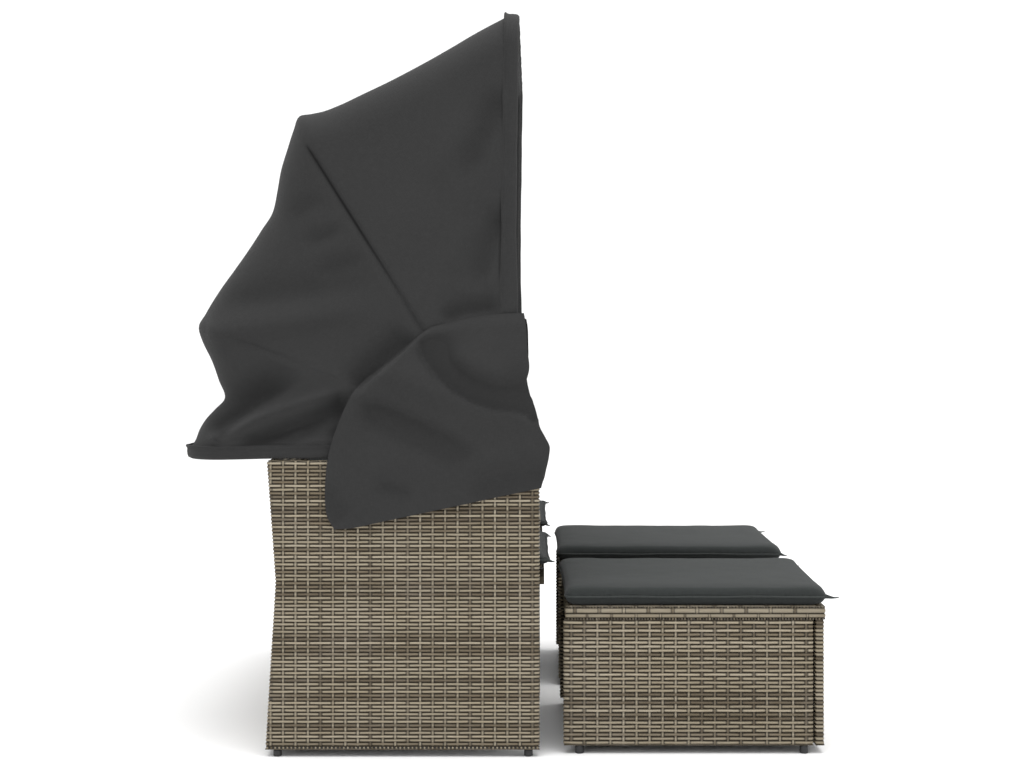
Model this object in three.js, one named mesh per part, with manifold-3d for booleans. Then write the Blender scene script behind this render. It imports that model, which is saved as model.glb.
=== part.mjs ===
// Outdoor two-seat daybed: wicker sofa with a folding fan canopy and two footstools that slide under the seats.
// Millimetres, +Z up, +X is the way the seats face, the part is symmetric about the plane Y = 0.
import * as THREE from 'three';
import { mergeVertices } from 'three/addons/utils/BufferGeometryUtils.js';
import Module from 'manifold-3d';

const wasm = await Module();
wasm.setup();

// ---------- driving dimensions ----------
const SHIFT_X = 62.5;            // moves the whole part so that its box is centred on X = 0
const GAP = 0.3;                 // clearance between touching pieces

// sofa side panels (seen from the side), X forward
const ARM_OUT = 641, ARM_T = 25; // outer plane and thickness
const ARM_IN = ARM_OUT - ARM_T;
const ARM_FRONT = 15.4, ARM_TOP = 653, ARM_BOTTOM = 15.5;
const REAR_TOP = -589, REAR_WAIST = -570, REAR_FOOT = -592, WAIST_Z = 385;
const SKIN = 2.2;                // woven skin on the tube frame
const TUBE = 20;                 // square frame tube
const WALL = 1.5;                // its wall

// seat
const SEAT_TOP = 417, SEAT_UNDER = 376, APRON_FRONT = 27, SEAT_REAR = -543;
const CONSOLE_HALF = 104, CONSOLE_FRONT = 20, CONSOLE_TOP = 467;

// canopy
const PIVOT_X = -60, PIVOT_Z = 678;
const LEG_Y = ARM_OUT - ARM_T / 2;      // plane of the hoop legs, 628.5
const HOOP_R = 8;                       // hoop tube radius
const HOOP_BORE = 6.8;
const BEND = 70;                        // bend radius of the hoop corners
const PLATE_T = 3.4, PLATE_W = 18, PLATE_END = 158, LEG_START = 150, EYE_R = 11;
const HOOPS = [                         // crossbar centre of each hoop, rear to front, and the layer of its flat end
  { name: '4', x: -766, z: 670, layer: -6 },
  { name: '3', x: -743, z: 942, layer: -2 },
  { name: '2', x: -523, z: 1412, layer: 2 },
  { name: '1', x: -46, z: 1643, layer: 6 },
];
const CLOTH_IN = 12, CLOTH_OUT = 15, CLOTH_R0 = 155;
const FLAP_IN = 645.5, FLAP_OUT = 648.5;

// footstools
const ST_OUT = 613, ST_IN = 108, ST_T = 20;
const ST_REAR = 67, ST_SIDE_END = 622, ST_FRONT0 = 625, ST_FRONT = 646;
const ST_BOTTOM = 18, ST_LID0 = 301, ST_LID1 = 328, ST_PAD = 372;

const FOOT_R = 9.5;

// ---------- materials ----------
const mat = (color, roughness, metalness = 0) => new THREE.MeshStandardMaterial({ color, roughness, metalness });
const wicker = mat(0x8c8172, 0.6);
const wickerDark = mat(0x6f665a, 0.65);
const steel = mat(0x1d1d1e, 0.45, 0.6);
const zinc = mat(0x9a9da0, 0.35, 0.9);
const canopyCloth = mat(0x3c3d3f, 0.9);
const padCloth = mat(0x4a4d4c, 0.9);
const plastic = mat(0x161616, 0.5);

const root = new THREE.Group();
root.position.x = SHIFT_X;

const put = (name, geometry, material, parent = root) => {
  const m = new THREE.Mesh(geometry, material);
  m.name = name;
  parent.add(m);
  return m;
};

// ---------- geometry helpers ----------
const BASIS = {
  XY: new THREE.Matrix4(),
  XZ: new THREE.Matrix4().makeBasis(new THREE.Vector3(1, 0, 0), new THREE.Vector3(0, 0, 1), new THREE.Vector3(0, -1, 0)),
  YZ: new THREE.Matrix4().makeBasis(new THREE.Vector3(0, 1, 0), new THREE.Vector3(0, 0, 1), new THREE.Vector3(1, 0, 0)),
};

// an outline in one plane, extruded from lo to hi along the plane's normal
function slab(plane, points, lo, hi, holes = []) {
  const shape = new THREE.Shape(points.map(([a, b]) => new THREE.Vector2(a, b)));
  for (const h of holes) shape.holes.push(new THREE.Path(h.map(([a, b]) => new THREE.Vector2(a, b))));
  const g = new THREE.ExtrudeGeometry(shape, { depth: hi - lo, bevelEnabled: false, curveSegments: 8 });
  g.applyMatrix4(BASIS[plane]);
  if (plane === 'XY') g.translate(0, 0, lo);
  if (plane === 'XZ') g.translate(0, hi, 0);
  if (plane === 'YZ') g.translate(lo, 0, 0);
  return g;
}

function block(x0, x1, y0, y1, z0, z1) {
  const g = new THREE.BoxGeometry(x1 - x0, Math.abs(y1 - y0), z1 - z0);
  g.translate((x0 + x1) / 2, (y0 + y1) / 2, (z0 + z1) / 2);
  return g;
}

function toSolid(geometry) {
  let g = geometry.clone();
  g.deleteAttribute('normal');
  g.deleteAttribute('uv');
  g = mergeVertices(g, 1e-3);
  return new wasm.Manifold(new wasm.Mesh({
    numProp: 3,
    vertProperties: new Float32Array(g.attributes.position.array),
    triVerts: new Uint32Array(g.index.array),
  }));
}

function fromSolid(solid) {
  const m = solid.getMesh();
  const g = new THREE.BufferGeometry();
  g.setAttribute('position', new THREE.BufferAttribute(new Float32Array(m.vertProperties), 3));
  g.setIndex(new THREE.BufferAttribute(new Uint32Array(m.triVerts), 1));
  g.computeVertexNormals();
  return g;
}

const cut = (a, ...others) => others.reduce((s, o) => s.subtract(toSolid(o)), a);

// moves each edge of a closed outline inward by its own distance
function inset(points, distances) {
  let area = 0;
  const n = points.length;
  for (let i = 0; i < n; i++) {
    const [x0, y0] = points[i], [x1, y1] = points[(i + 1) % n];
    area += x0 * y1 - x1 * y0;
  }
  const s = Math.sign(area);
  const lines = points.map(([x0, y0], i) => {
    const [x1, y1] = points[(i + 1) % n];
    const L = Math.hypot(x1 - x0, y1 - y0);
    const nx = -s * (y1 - y0) / L, ny = s * (x1 - x0) / L;
    const d = Array.isArray(distances) ? distances[i] : distances;
    return { x: x0 + nx * d, y: y0 + ny * d, dx: x1 - x0, dy: y1 - y0 };
  });
  return lines.map((b, i) => {
    const a = lines[(i + n - 1) % n];
    const det = a.dx * b.dy - a.dy * b.dx;
    const t = ((b.x - a.x) * b.dy - (b.y - a.y) * b.dx) / det;
    return [a.x + a.dx * t, a.y + a.dy * t];
  });
}

// soft pad: rounded outline with a soft edge
function pad(x0, x1, y0, y1, z0, z1, corner = 25, edge = 9) {
  const e = edge, a = x0 + e, b = x1 - e, c = Math.min(y0, y1) + e, d = Math.max(y0, y1) - e, r = corner;
  const s = new THREE.Shape();
  s.moveTo(a + r, c);
  s.lineTo(b - r, c); s.absarc(b - r, c + r, r, -Math.PI / 2, 0, false);
  s.lineTo(b, d - r); s.absarc(b - r, d - r, r, 0, Math.PI / 2, false);
  s.lineTo(a + r, d); s.absarc(a + r, d - r, r, Math.PI / 2, Math.PI, false);
  s.lineTo(a, c + r); s.absarc(a + r, c + r, r, Math.PI, 1.5 * Math.PI, false);
  const g = new THREE.ExtrudeGeometry(s, { depth: z1 - z0 - 2 * e, bevelEnabled: true, bevelThickness: e, bevelSize: e, bevelSegments: 2, curveSegments: 3 });
  g.translate(0, 0, z0 + e);
  return g;
}

const footProfile = (h) => [[0, 0], [8.4, 0], [FOOT_R, 1.2], [FOOT_R, h - 3], [8, h], [0, h]].map(([r, z]) => new THREE.Vector2(r, z));
function foot(x, y, h) {
  const g = new THREE.LatheGeometry(footProfile(h), 16);
  g.rotateX(Math.PI / 2);
  g.translate(x, y, 0);
  return g;
}

const sides = [['right', -1], ['left', 1]];   // sitter's right is -Y

// ---------- sofa sides ----------
const armOutline = [
  [ARM_FRONT, ARM_BOTTOM], [ARM_FRONT, ARM_TOP], [REAR_TOP, ARM_TOP], [REAR_WAIST, WAIST_Z], [REAR_FOOT, ARM_BOTTOM],
];
for (const [side, s] of sides) {
  const yr = (a, b) => [Math.min(s * a, s * b), Math.max(s * a, s * b)];
  // woven cover: closed at the front, top and rear edges, open along the bottom
  const [w0, w1] = yr(ARM_IN, ARM_OUT);
  const [p0, p1] = yr(ARM_IN + SKIN, ARM_OUT - SKIN);
  const pocket = inset(armOutline, [2.5, 2.5, 2.5, 2.5, -10]);
  put(`arm_weave_${side}`, fromSolid(cut(toSolid(slab('XZ', armOutline, w0, w1)), slab('XZ', pocket, p0, p1))), wicker);
  // welded square-tube frame inside it
  const frameOut = inset(armOutline, [2.8, 2.8, 2.8, 2.8, 0]);
  const [f0, f1] = yr(ARM_IN + SKIN + GAP, ARM_OUT - SKIN - GAP);
  const windows = (g) => {          // g widens each window, for the hollow inside the tubes
    const inner = inset(frameOut, TUBE);
    const zr = 393, mid = -280;
    const upper = [inner[0], inner[1], inner[2]];
    const rearAt = (z) => z > WAIST_Z
      ? inner[2][0] + (inner[3][0] - inner[2][0]) * (inner[2][1] - z) / (inner[2][1] - inner[3][1])
      : inner[3][0] + (inner[4][0] - inner[3][0]) * (inner[3][1] - z) / (inner[3][1] - inner[4][1]);
    const f = inner[0][0], t = upper[1][1], b = inner[0][1];
    const quads = [
      [[f, zr + TUBE], [f, t], [mid + TUBE / 2, t], [mid + TUBE / 2, zr + TUBE]],
      [[mid - TUBE / 2, zr + TUBE], [mid - TUBE / 2, t], [rearAt(t), t], [rearAt(zr + TUBE), zr + TUBE]],
      [[f, b], [f, zr], [mid + TUBE / 2, zr], [mid + TUBE / 2, b]],
      [[mid - TUBE / 2, b], [mid - TUBE / 2, zr], [rearAt(zr), zr], [rearAt(b), b]],
    ];
    return quads.map((q) => slab('XZ', g ? inset(q, -g) : q, f0 - 5, f1 + 5));
  };
  let shell = cut(toSolid(slab('XZ', frameOut, f0, f1)), ...windows(0));
  const core = cut(toSolid(slab('XZ', inset(frameOut, WALL), f0 + WALL, f1 - WALL)), ...windows(WALL));
  shell = shell.subtract(core);
  for (const x of [-10, -565]) {     // screw holes of the feet
    const hole = new THREE.CylinderGeometry(3, 3, 6, 8);
    hole.rotateX(Math.PI / 2);
    hole.translate(x, s * LEG_Y, ARM_BOTTOM);
    shell = cut(shell, hole);
  }
  put(`arm_frame_${side}`, fromSolid(shell), steel);
  put(`sofa_foot_front_${side}`, foot(-10, s * LEG_Y, ARM_BOTTOM - GAP), plastic);
  put(`sofa_foot_rear_${side}`, foot(-565, s * LEG_Y, ARM_BOTTOM - GAP), plastic);
}

// ---------- back panel between the sides ----------
{
  const half = ARM_IN - 0.4;
  const T = 25;
  const outline = [
    [REAR_FOOT + T, ARM_BOTTOM], [REAR_WAIST + T, WAIST_Z], [REAR_TOP + T, ARM_TOP],
    [REAR_TOP, ARM_TOP], [REAR_WAIST, WAIST_Z], [REAR_FOOT, ARM_BOTTOM],
  ];
  const pocket = inset(outline, [2.5, 2.5, 2.5, 2.5, 2.5, -10]);
  put('back_weave', fromSolid(cut(toSolid(slab('XZ', outline, -half, half)), slab('XZ', pocket, -half + 2.5, half - 2.5))), wicker);
  const fo = inset(outline, [2.8, 2.8, 2.8, 2.8, 2.8, 0]);
  const fh = half - 2.8;
  const windows = (g) => {
    const out = [];
    for (const [z0, z1] of [[ARM_BOTTOM + TUBE, 375], [375 + TUBE, ARM_TOP - 2.8 - TUBE]])
      for (const [y0, y1] of [[-fh + TUBE, -214], [-194, 194], [214, fh - TUBE]])
        out.push(block(-640, -500, y0 - g, y1 + g, z0 - g, z1 + g));
    return out;
  };
  const shell = cut(toSolid(slab('XZ', fo, -fh, fh)), ...windows(0));
  const core = cut(toSolid(slab('XZ', inset(fo, WALL), -fh + WALL, fh - WALL)), ...windows(WALL));
  let frame = shell.subtract(core);
  for (const y of [-560, 560]) {    // drain holes in the bottom rail
    const hole = new THREE.CylinderGeometry(3, 3, 6, 8);
    hole.rotateX(Math.PI / 2);
    hole.translate(REAR_FOOT + T / 2, y, ARM_BOTTOM);
    frame = cut(frame, hole);
  }
  put('back_frame', fromSolid(frame), steel);
}

// ---------- seats ----------
for (const [side, s] of sides) {
  const yr = (a, b) => [Math.min(s * a, s * b), Math.max(s * a, s * b)];
  const [a, b] = yr(CONSOLE_HALF + 0.4, ARM_IN - 0.4);
  // woven top sheet and front apron
  const L = [[SEAT_REAR, SEAT_TOP - 3], [SEAT_REAR, SEAT_TOP], [APRON_FRONT, SEAT_TOP], [APRON_FRONT, SEAT_UNDER], [APRON_FRONT - 3, SEAT_UNDER], [APRON_FRONT - 3, SEAT_TOP - 3]];
  put(`seat_weave_${side}`, slab('XZ', L, a, b), wicker);
  // tube frame with slats
  const x0 = SEAT_REAR, x1 = APRON_FRONT - 3 - GAP, z1 = SEAT_TOP - 3 - GAP, z0 = z1 - TUBE;
  const quad = (u0, u1, v0, v1) => [[u0, v0], [u1, v0], [u1, v1], [u0, v1]];
  const bays = (g) => {
    const list = [];
    const w = (x1 - x0 - 4 * TUBE) / 3;
    for (let i = 0; i < 3; i++) {
      const u = x0 + TUBE + i * (w + TUBE);
      list.push(slab('XY', quad(u - g, u + w + g, a + TUBE - g, b - TUBE + g), z0 - 5, z1 + 5));
    }
    return list;
  };
  let shell = cut(toSolid(slab('XY', quad(x0, x1, a, b), z0, z1)), ...bays(0));
  const core = cut(toSolid(slab('XY', quad(x0 + WALL, x1 - WALL, a + WALL, b - WALL), z0 + WALL, z1 - WALL)), ...bays(WALL));
  shell = shell.subtract(core);
  const hole = new THREE.CylinderGeometry(3, 3, 8, 8);
  hole.rotateX(Math.PI / 2);
  hole.translate(x0 + TUBE / 2, s * 360, z0);
  put(`seat_frame_${side}`, fromSolid(cut(shell, hole)), steel);
  // loose pads
  put(`seat_cushion_${side}`, pad(-492, 38, s * 113, s * 611, SEAT_TOP + GAP, 462), padCloth);
  const lean = [[-546, 418.5], [-497, 418.5], [-513, 640], [-562, 640]];
  const [c, d] = yr(113, 611);
  put(`back_cushion_${side}`, slab('XZ', lean, c, d), padCloth);
}

// ---------- console between the seats ----------
{
  const h = CONSOLE_HALF, t = 18, f = CONSOLE_FRONT, r = SEAT_REAR;
  const walls = [[f, -h], [f, h], [r, h], [r, h - t], [f - t, h - t], [f - t, -h + t], [r, -h + t], [r, -h]];
  const top = CONSOLE_TOP - 17;
  put('console_box', fromSolid(cut(toSolid(slab('XY', walls, ARM_BOTTOM, top - GAP)), slab('XY', inset(walls, SKIN), ARM_BOTTOM - 5, top - GAP - SKIN))), wicker);
  put('console_top', fromSolid(cut(toSolid(block(r, f + 4, -h, h, top, CONSOLE_TOP)), block(r + 3, f + 1, -h + 3, h - 3, top - 5, CONSOLE_TOP - 3))), wicker);
}

// ---------- canopy brackets and pivot bolts ----------
const stack = 8.7, cheek = 3;
for (const [side, s] of sides) {
  const y = s * LEG_Y, z0 = ARM_TOP + GAP, zt = PIVOT_Z + 13;
  const u = [
    [y - stack - cheek, z0], [y + stack + cheek, z0], [y + stack + cheek, zt], [y + stack, zt],
    [y + stack, z0 + 3], [y - stack, z0 + 3], [y - stack, zt], [y - stack - cheek, zt],
  ];
  const hole = new THREE.CylinderGeometry(4.3, 4.3, 60, 16);
  hole.translate(PIVOT_X, y, PIVOT_Z);
  put(`canopy_bracket_${side}`, fromSolid(cut(toSolid(slab('YZ', u, PIVOT_X - 17, PIVOT_X + 17)), hole)), steel);
  const bolt = new THREE.LatheGeometry([[0, -16], [7, -16], [7, -12], [4, -12], [4, 12], [7, 12], [7, 16], [0, 16]].map(([r, t]) => new THREE.Vector2(r, t)), 12);
  bolt.translate(PIVOT_X, y, PIVOT_Z);
  put(`pivot_bolt_${side}`, bolt, zinc);
}

// ---------- canopy hoops: two legs with flattened ends on the pivot bolt, and a crossbar with bent ends ----------
// a path through listed points, stepped point by point
class PointPath extends THREE.Curve {
  constructor(points) { super(); this.points = points; }
  getPoint(t) {
    const n = this.points.length - 1, u = Math.min(t * n, n), i = Math.min(Math.floor(u + 1e-9), n - 1);
    return this.points[i].clone().lerp(this.points[i + 1], Math.max(0, Math.min(1, u - i)));
  }
  getPointAt(t) { return this.getPoint(t); }
  getTangentAt(t) {
    const n = this.points.length - 1, k = Math.round(t * n);
    const a = this.points[Math.max(k - 1, 0)], b = this.points[Math.min(k + 1, n)], c = this.points[k];
    const d0 = c.clone().sub(a).normalize(), d1 = b.clone().sub(c).normalize();
    return d0.add(d1).normalize();
  }
  getTangent(t) { return this.getTangentAt(t); }
}

for (const h of HOOPS) {
  const dx = h.x - PIVOT_X, dz = h.z - PIVOT_Z;
  h.r = Math.hypot(dx, dz);
  h.theta = Math.atan2(dz, -dx);           // angle up from the rear
  const turn = new THREE.Group();          // local +X runs from the pivot along the hoop
  turn.position.set(PIVOT_X, 0, PIVOT_Z);
  turn.rotation.y = Math.PI + h.theta;
  root.add(turn);
  const legEnd = h.r - BEND;
  for (const [side, s] of sides) {
    const tube = new THREE.CylinderGeometry(HOOP_R, HOOP_R, legEnd - LEG_START, 12);
    tube.rotateZ(Math.PI / 2);
    tube.translate((legEnd + LEG_START) / 2, 0, 0);
    const bore = new THREE.CylinderGeometry(HOOP_BORE, HOOP_BORE, legEnd - LEG_START, 8);
    bore.rotateZ(Math.PI / 2);
    bore.translate((legEnd + LEG_START) / 2 + 20, 0, 0);
    const flat = new THREE.Shape();
    const w = PLATE_W / 2, q = Math.asin(w / EYE_R);
    flat.moveTo(PLATE_END, -w);
    flat.lineTo(PLATE_END, w);
    flat.lineTo(EYE_R * Math.cos(q), w);
    flat.absarc(0, 0, EYE_R, q, 2 * Math.PI - q, false);
    flat.closePath();
    const plate = new THREE.ExtrudeGeometry(flat, { depth: PLATE_T, bevelEnabled: false, curveSegments: 8 });
    plate.applyMatrix4(BASIS.XZ);
    plate.translate(0, h.layer + PLATE_T / 2, 0);
    const eye = new THREE.CylinderGeometry(4.3, 4.3, 60, 16);
    const solid = cut(toSolid(tube), bore).add(toSolid(plate)).subtract(toSolid(eye));
    const leg = put(`hoop_${h.name}_leg_${side}`, fromSolid(solid), steel, turn);
    leg.position.y = s * LEG_Y;
  }
  const path = [new THREE.Vector3(legEnd + GAP, -LEG_Y, 0)];
  const N = 5;
  for (let i = 0; i <= N; i++) {
    const a = (i / N) * Math.PI / 2;
    path.push(new THREE.Vector3(legEnd + 6 + (BEND - 6) * Math.sin(a), -LEG_Y + BEND * (1 - Math.cos(a)), 0));
  }
  for (let i = N; i >= 0; i--) {
    const a = (i / N) * Math.PI / 2;
    path.push(new THREE.Vector3(legEnd + 6 + (BEND - 6) * Math.sin(a), LEG_Y - BEND * (1 - Math.cos(a)), 0));
  }
  path.push(new THREE.Vector3(legEnd + GAP, LEG_Y, 0));
  const ring = new THREE.Shape();
  ring.absarc(0, 0, HOOP_R, 0, 2 * Math.PI, false);
  const bore = new THREE.Path();
  bore.absarc(0, 0, HOOP_BORE, 0, 2 * Math.PI, true);
  ring.holes.push(bore);
  const bar = new THREE.ExtrudeGeometry(ring, { steps: path.length - 1, bevelEnabled: false, curveSegments: 5, extrudePath: new PointPath(path) });
  put(`hoop_${h.name}_crossbar`, bar, steel, turn);
}

// ---------- canopy cloth: one U-shaped panel between each two hoops ----------
function clothRing(h, offset, push) {
  const u = new THREE.Vector3(-Math.cos(h.theta), 0, Math.sin(h.theta));
  const n = new THREE.Vector3(Math.sin(h.theta), 0, Math.cos(h.theta));
  const flat = [];
  const e = LEG_Y + offset, k = h.r - BEND, N = 5;
  flat.push([CLOTH_R0, -e]);
  for (let i = 0; i <= N; i++) {
    const a = (i / N) * Math.PI / 2;
    flat.push([k + (BEND + offset) * Math.sin(a), -(LEG_Y - BEND) - (BEND + offset) * Math.cos(a)]);
  }
  for (let i = N; i >= 0; i--) {
    const a = (i / N) * Math.PI / 2;
    flat.push([k + (BEND + offset) * Math.sin(a), (LEG_Y - BEND) + (BEND + offset) * Math.cos(a)]);
  }
  flat.push([CLOTH_R0, e]);
  return flat.map(([r, y]) => new THREE.Vector3(PIVOT_X, y, PIVOT_Z).addScaledVector(u, r).addScaledVector(n, push));
}

function clothPanel(a, b) {
  const rings = [clothRing(a, CLOTH_IN, 0.5), clothRing(a, CLOTH_OUT, 0.5), clothRing(b, CLOTH_IN, -0.5), clothRing(b, CLOTH_OUT, -0.5)];
  const n = rings[0].length;
  const at = (k, i) => k * n + i;
  const pos = rings.flat().flatMap((p) => [p.x, p.y, p.z]);
  const idx = [];
  const quad = (p, q, r, s) => idx.push(p, q, r, p, r, s);
  for (let i = 0; i < n - 1; i++) {
    quad(at(1, i), at(1, i + 1), at(3, i + 1), at(3, i));
    quad(at(0, i + 1), at(0, i), at(2, i), at(2, i + 1));
    quad(at(0, i), at(0, i + 1), at(1, i + 1), at(1, i));
    quad(at(2, i + 1), at(2, i), at(3, i), at(3, i + 1));
  }
  quad(at(0, 0), at(1, 0), at(3, 0), at(2, 0));
  quad(at(1, n - 1), at(0, n - 1), at(2, n - 1), at(3, n - 1));
  const g = new THREE.BufferGeometry();
  g.setAttribute('position', new THREE.Float32BufferAttribute(pos, 3));
  let volume = 0;
  const v = (i) => new THREE.Vector3(pos[3 * i], pos[3 * i + 1], pos[3 * i + 2]);
  for (let i = 0; i < idx.length; i += 3) volume += v(idx[i]).dot(v(idx[i + 1]).cross(v(idx[i + 2])));
  if (volume < 0) for (let i = 0; i < idx.length; i += 3) [idx[i + 1], idx[i + 2]] = [idx[i + 2], idx[i + 1]];
  g.setIndex(idx);
  g.computeVertexNormals();
  return g;
}
put('canopy_cloth_rear', clothPanel(HOOPS[0], HOOPS[1]), canopyCloth);
put('canopy_cloth_middle', clothPanel(HOOPS[1], HOOPS[2]), canopyCloth);
put('canopy_cloth_front', clothPanel(HOOPS[2], HOOPS[3]), canopyCloth);

// loose side flap that hangs over the outside of each arm
const flapBack = [
  [-20, 979], [-227, 948], [-273, 911], [-348, 849], [-392, 809], [-430, 730], [-452, 655], [-458, 560],
  [-437, 503], [-404, 505],
];
const flapFront = {
  right: [
    [18, 593], [28, 630], [36, 668], [37, 684], [27, 706], [15, 729], [11, 746], [7, 762], [1, 781],
    [-7, 799], [-14, 817], [-15, 826], [-13, 835], [-9, 850], [-13, 905], [-17, 964],
  ],
  left: [
    [0, 590], [4, 630], [6, 668], [5, 690], [-1, 720], [-7, 746], [-17, 790], [-20, 823], [-14, 860],
    [-14, 905], [-17, 964],
  ],
};
for (const [side, s] of sides) {
  const a = Math.min(s * FLAP_IN, s * FLAP_OUT), b = Math.max(s * FLAP_IN, s * FLAP_OUT);
  put(`canopy_flap_${side}`, slab('XZ', [...flapBack, ...flapFront[side]], a, b), canopyCloth);
}

// ---------- footstools ----------
for (const [side, s] of sides) {
  const b = (x0, x1, a, c, z0, z1) => block(x0, x1, Math.min(s * a, s * c), Math.max(s * a, s * c), z0, z1);
  // woven cover of a board, closed all round and open underneath
  const cover = (x0, x1, a, c, z0, z1, k = SKIN) => fromSolid(cut(toSolid(b(x0, x1, a, c, z0, z1)), b(x0 + k, x1 - k, a + k, c - k, z0 - 5, z1 - k)));
  const n = `footstool_${side}`;
  put(`${n}_panel_outer`, cover(ST_REAR, ST_SIDE_END, ST_OUT - ST_T, ST_OUT, ST_BOTTOM, ST_LID0 - GAP), wicker);
  put(`${n}_panel_inner`, cover(ST_REAR, ST_SIDE_END, ST_IN, ST_IN + ST_T, ST_BOTTOM, ST_LID0 - GAP), wicker);
  put(`${n}_panel_front`, cover(ST_FRONT0, ST_FRONT, ST_IN, ST_OUT, ST_BOTTOM, 294), wicker);
  put(`${n}_lid`, cover(ST_REAR + 2, ST_FRONT + 2, ST_IN - 0.5, ST_OUT + 0.5, ST_LID0, ST_LID1, 3), wickerDark);
  put(`${n}_cushion`, pad(ST_REAR + 2, 656, s * 106, s * 614.5, ST_LID1 + GAP, ST_PAD, 22, 9), padCloth);
  for (const [end, x] of [['rear', 103.5], ['front', 603.5]])
    for (const [where, y] of [['outer', ST_OUT - ST_T / 2], ['inner', ST_IN + ST_T / 2]])
      put(`${n}_foot_${end}_${where}`, foot(x, s * y, ST_BOTTOM - GAP), plastic);
}

export default root;
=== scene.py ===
"""Outdoor wicker daybed with a folding fan canopy and two footstools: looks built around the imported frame.
Metres, +Z up, +X is the way the seats face, -Y is the side towards the camera."""

import math

import bmesh
import bpy
import numpy as np
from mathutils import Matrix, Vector
from mathutils.bvhtree import BVHTree


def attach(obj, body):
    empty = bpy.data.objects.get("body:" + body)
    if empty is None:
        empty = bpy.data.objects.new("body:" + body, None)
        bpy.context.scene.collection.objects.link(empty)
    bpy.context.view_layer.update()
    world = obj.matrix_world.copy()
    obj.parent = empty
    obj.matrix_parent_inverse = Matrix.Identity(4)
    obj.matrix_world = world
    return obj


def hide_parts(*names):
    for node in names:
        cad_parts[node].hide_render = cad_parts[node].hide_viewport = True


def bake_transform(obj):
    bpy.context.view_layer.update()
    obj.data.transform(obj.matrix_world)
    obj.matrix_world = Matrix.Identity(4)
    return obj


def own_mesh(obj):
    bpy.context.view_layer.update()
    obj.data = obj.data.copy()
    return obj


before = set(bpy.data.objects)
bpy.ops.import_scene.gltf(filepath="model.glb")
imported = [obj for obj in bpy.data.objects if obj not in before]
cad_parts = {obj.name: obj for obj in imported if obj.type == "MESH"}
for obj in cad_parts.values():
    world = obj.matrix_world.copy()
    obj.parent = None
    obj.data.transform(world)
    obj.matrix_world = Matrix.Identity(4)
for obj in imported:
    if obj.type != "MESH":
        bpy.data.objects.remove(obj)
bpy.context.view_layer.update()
scene = bpy.context.scene
SIDES = (("right", -1.0), ("left", 1.0))
SX = 0.0625                      # part x of the side view's x = 0


# ------------------------------------------------------------------ materials
def rgb(r, g, b):
    """sRGB 0-255 to linear."""
    return tuple((c / 255 / 12.92) if c / 255 <= 0.04045 else ((c / 255 + 0.055) / 1.055) ** 2.4 for c in (r, g, b)) + (1.0,)


class Nodes:
    def __init__(self, name):
        self.mat = bpy.data.materials.new(name)
        self.mat.use_nodes = True
        self.t = self.mat.node_tree
        self.shader = self.t.nodes["Principled BSDF"]

    def add(self, kind, **values):
        n = self.t.nodes.new(kind)
        for k, v in values.items():
            if hasattr(n, k) and k not in n.inputs:
                setattr(n, k, v)
            else:
                n.inputs[k].default_value = v
        return n

    def link(self, a, b):
        self.t.links.new(a, b)

    def math(self, op, a, b=None, clamp=False):
        n = self.t.nodes.new("ShaderNodeMath")
        n.operation = op
        n.use_clamp = clamp
        for i, v in enumerate((a, b)):
            if v is None:
                continue
            if isinstance(v, (int, float)):
                n.inputs[i].default_value = v
            else:
                self.link(v, n.inputs[i])
        return n.outputs[0]

    def mix(self, factor, a, b, blend="MIX"):
        n = self.t.nodes.new("ShaderNodeMix")
        n.data_type = "RGBA"
        n.blend_type = blend
        for i, v in ((0, factor), (6, a), (7, b)):
            if isinstance(v, (int, float, tuple)):
                n.inputs[i].default_value = v
            else:
                self.link(v, n.inputs[i])
        return n.outputs[2]

    def range(self, value, a, b, c, d):
        n = self.t.nodes.new("ShaderNodeMapRange")
        self.link(value, n.inputs[0])
        for i, v in enumerate((a, b, c, d)):
            n.inputs[1 + i].default_value = v
        return n.outputs[0]

    def noise(self, vector, scale, detail=3.0, rough=0.5):
        n = self.add("ShaderNodeTexNoise", Scale=scale, Detail=detail, Roughness=rough)
        if vector is not None:
            self.link(vector, n.inputs["Vector"])
        return n.outputs["Fac"]

    def scaled(self, vector, x, y, z):
        n = self.add("ShaderNodeMapping")
        n.inputs["Scale"].default_value = (x, y, z)
        self.link(vector, n.inputs["Vector"])
        return n.outputs["Vector"]

    def bump(self, height, distance, strength=1.0, normal=None):
        n = self.add("ShaderNodeBump", Strength=strength, Distance=distance)
        self.link(height, n.inputs["Height"])
        if normal is not None:
            self.link(normal, n.inputs["Normal"])
        return n.outputs["Normal"]

    def finish(self, color=None, rough=None, normal=None):
        s = self.shader.inputs
        if color is not None:
            self.link(color, s["Base Color"])
        if rough is not None:
            self.link(rough, s["Roughness"])
        if normal is not None:
            self.link(normal, s["Normal"])
        return self.mat


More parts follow.
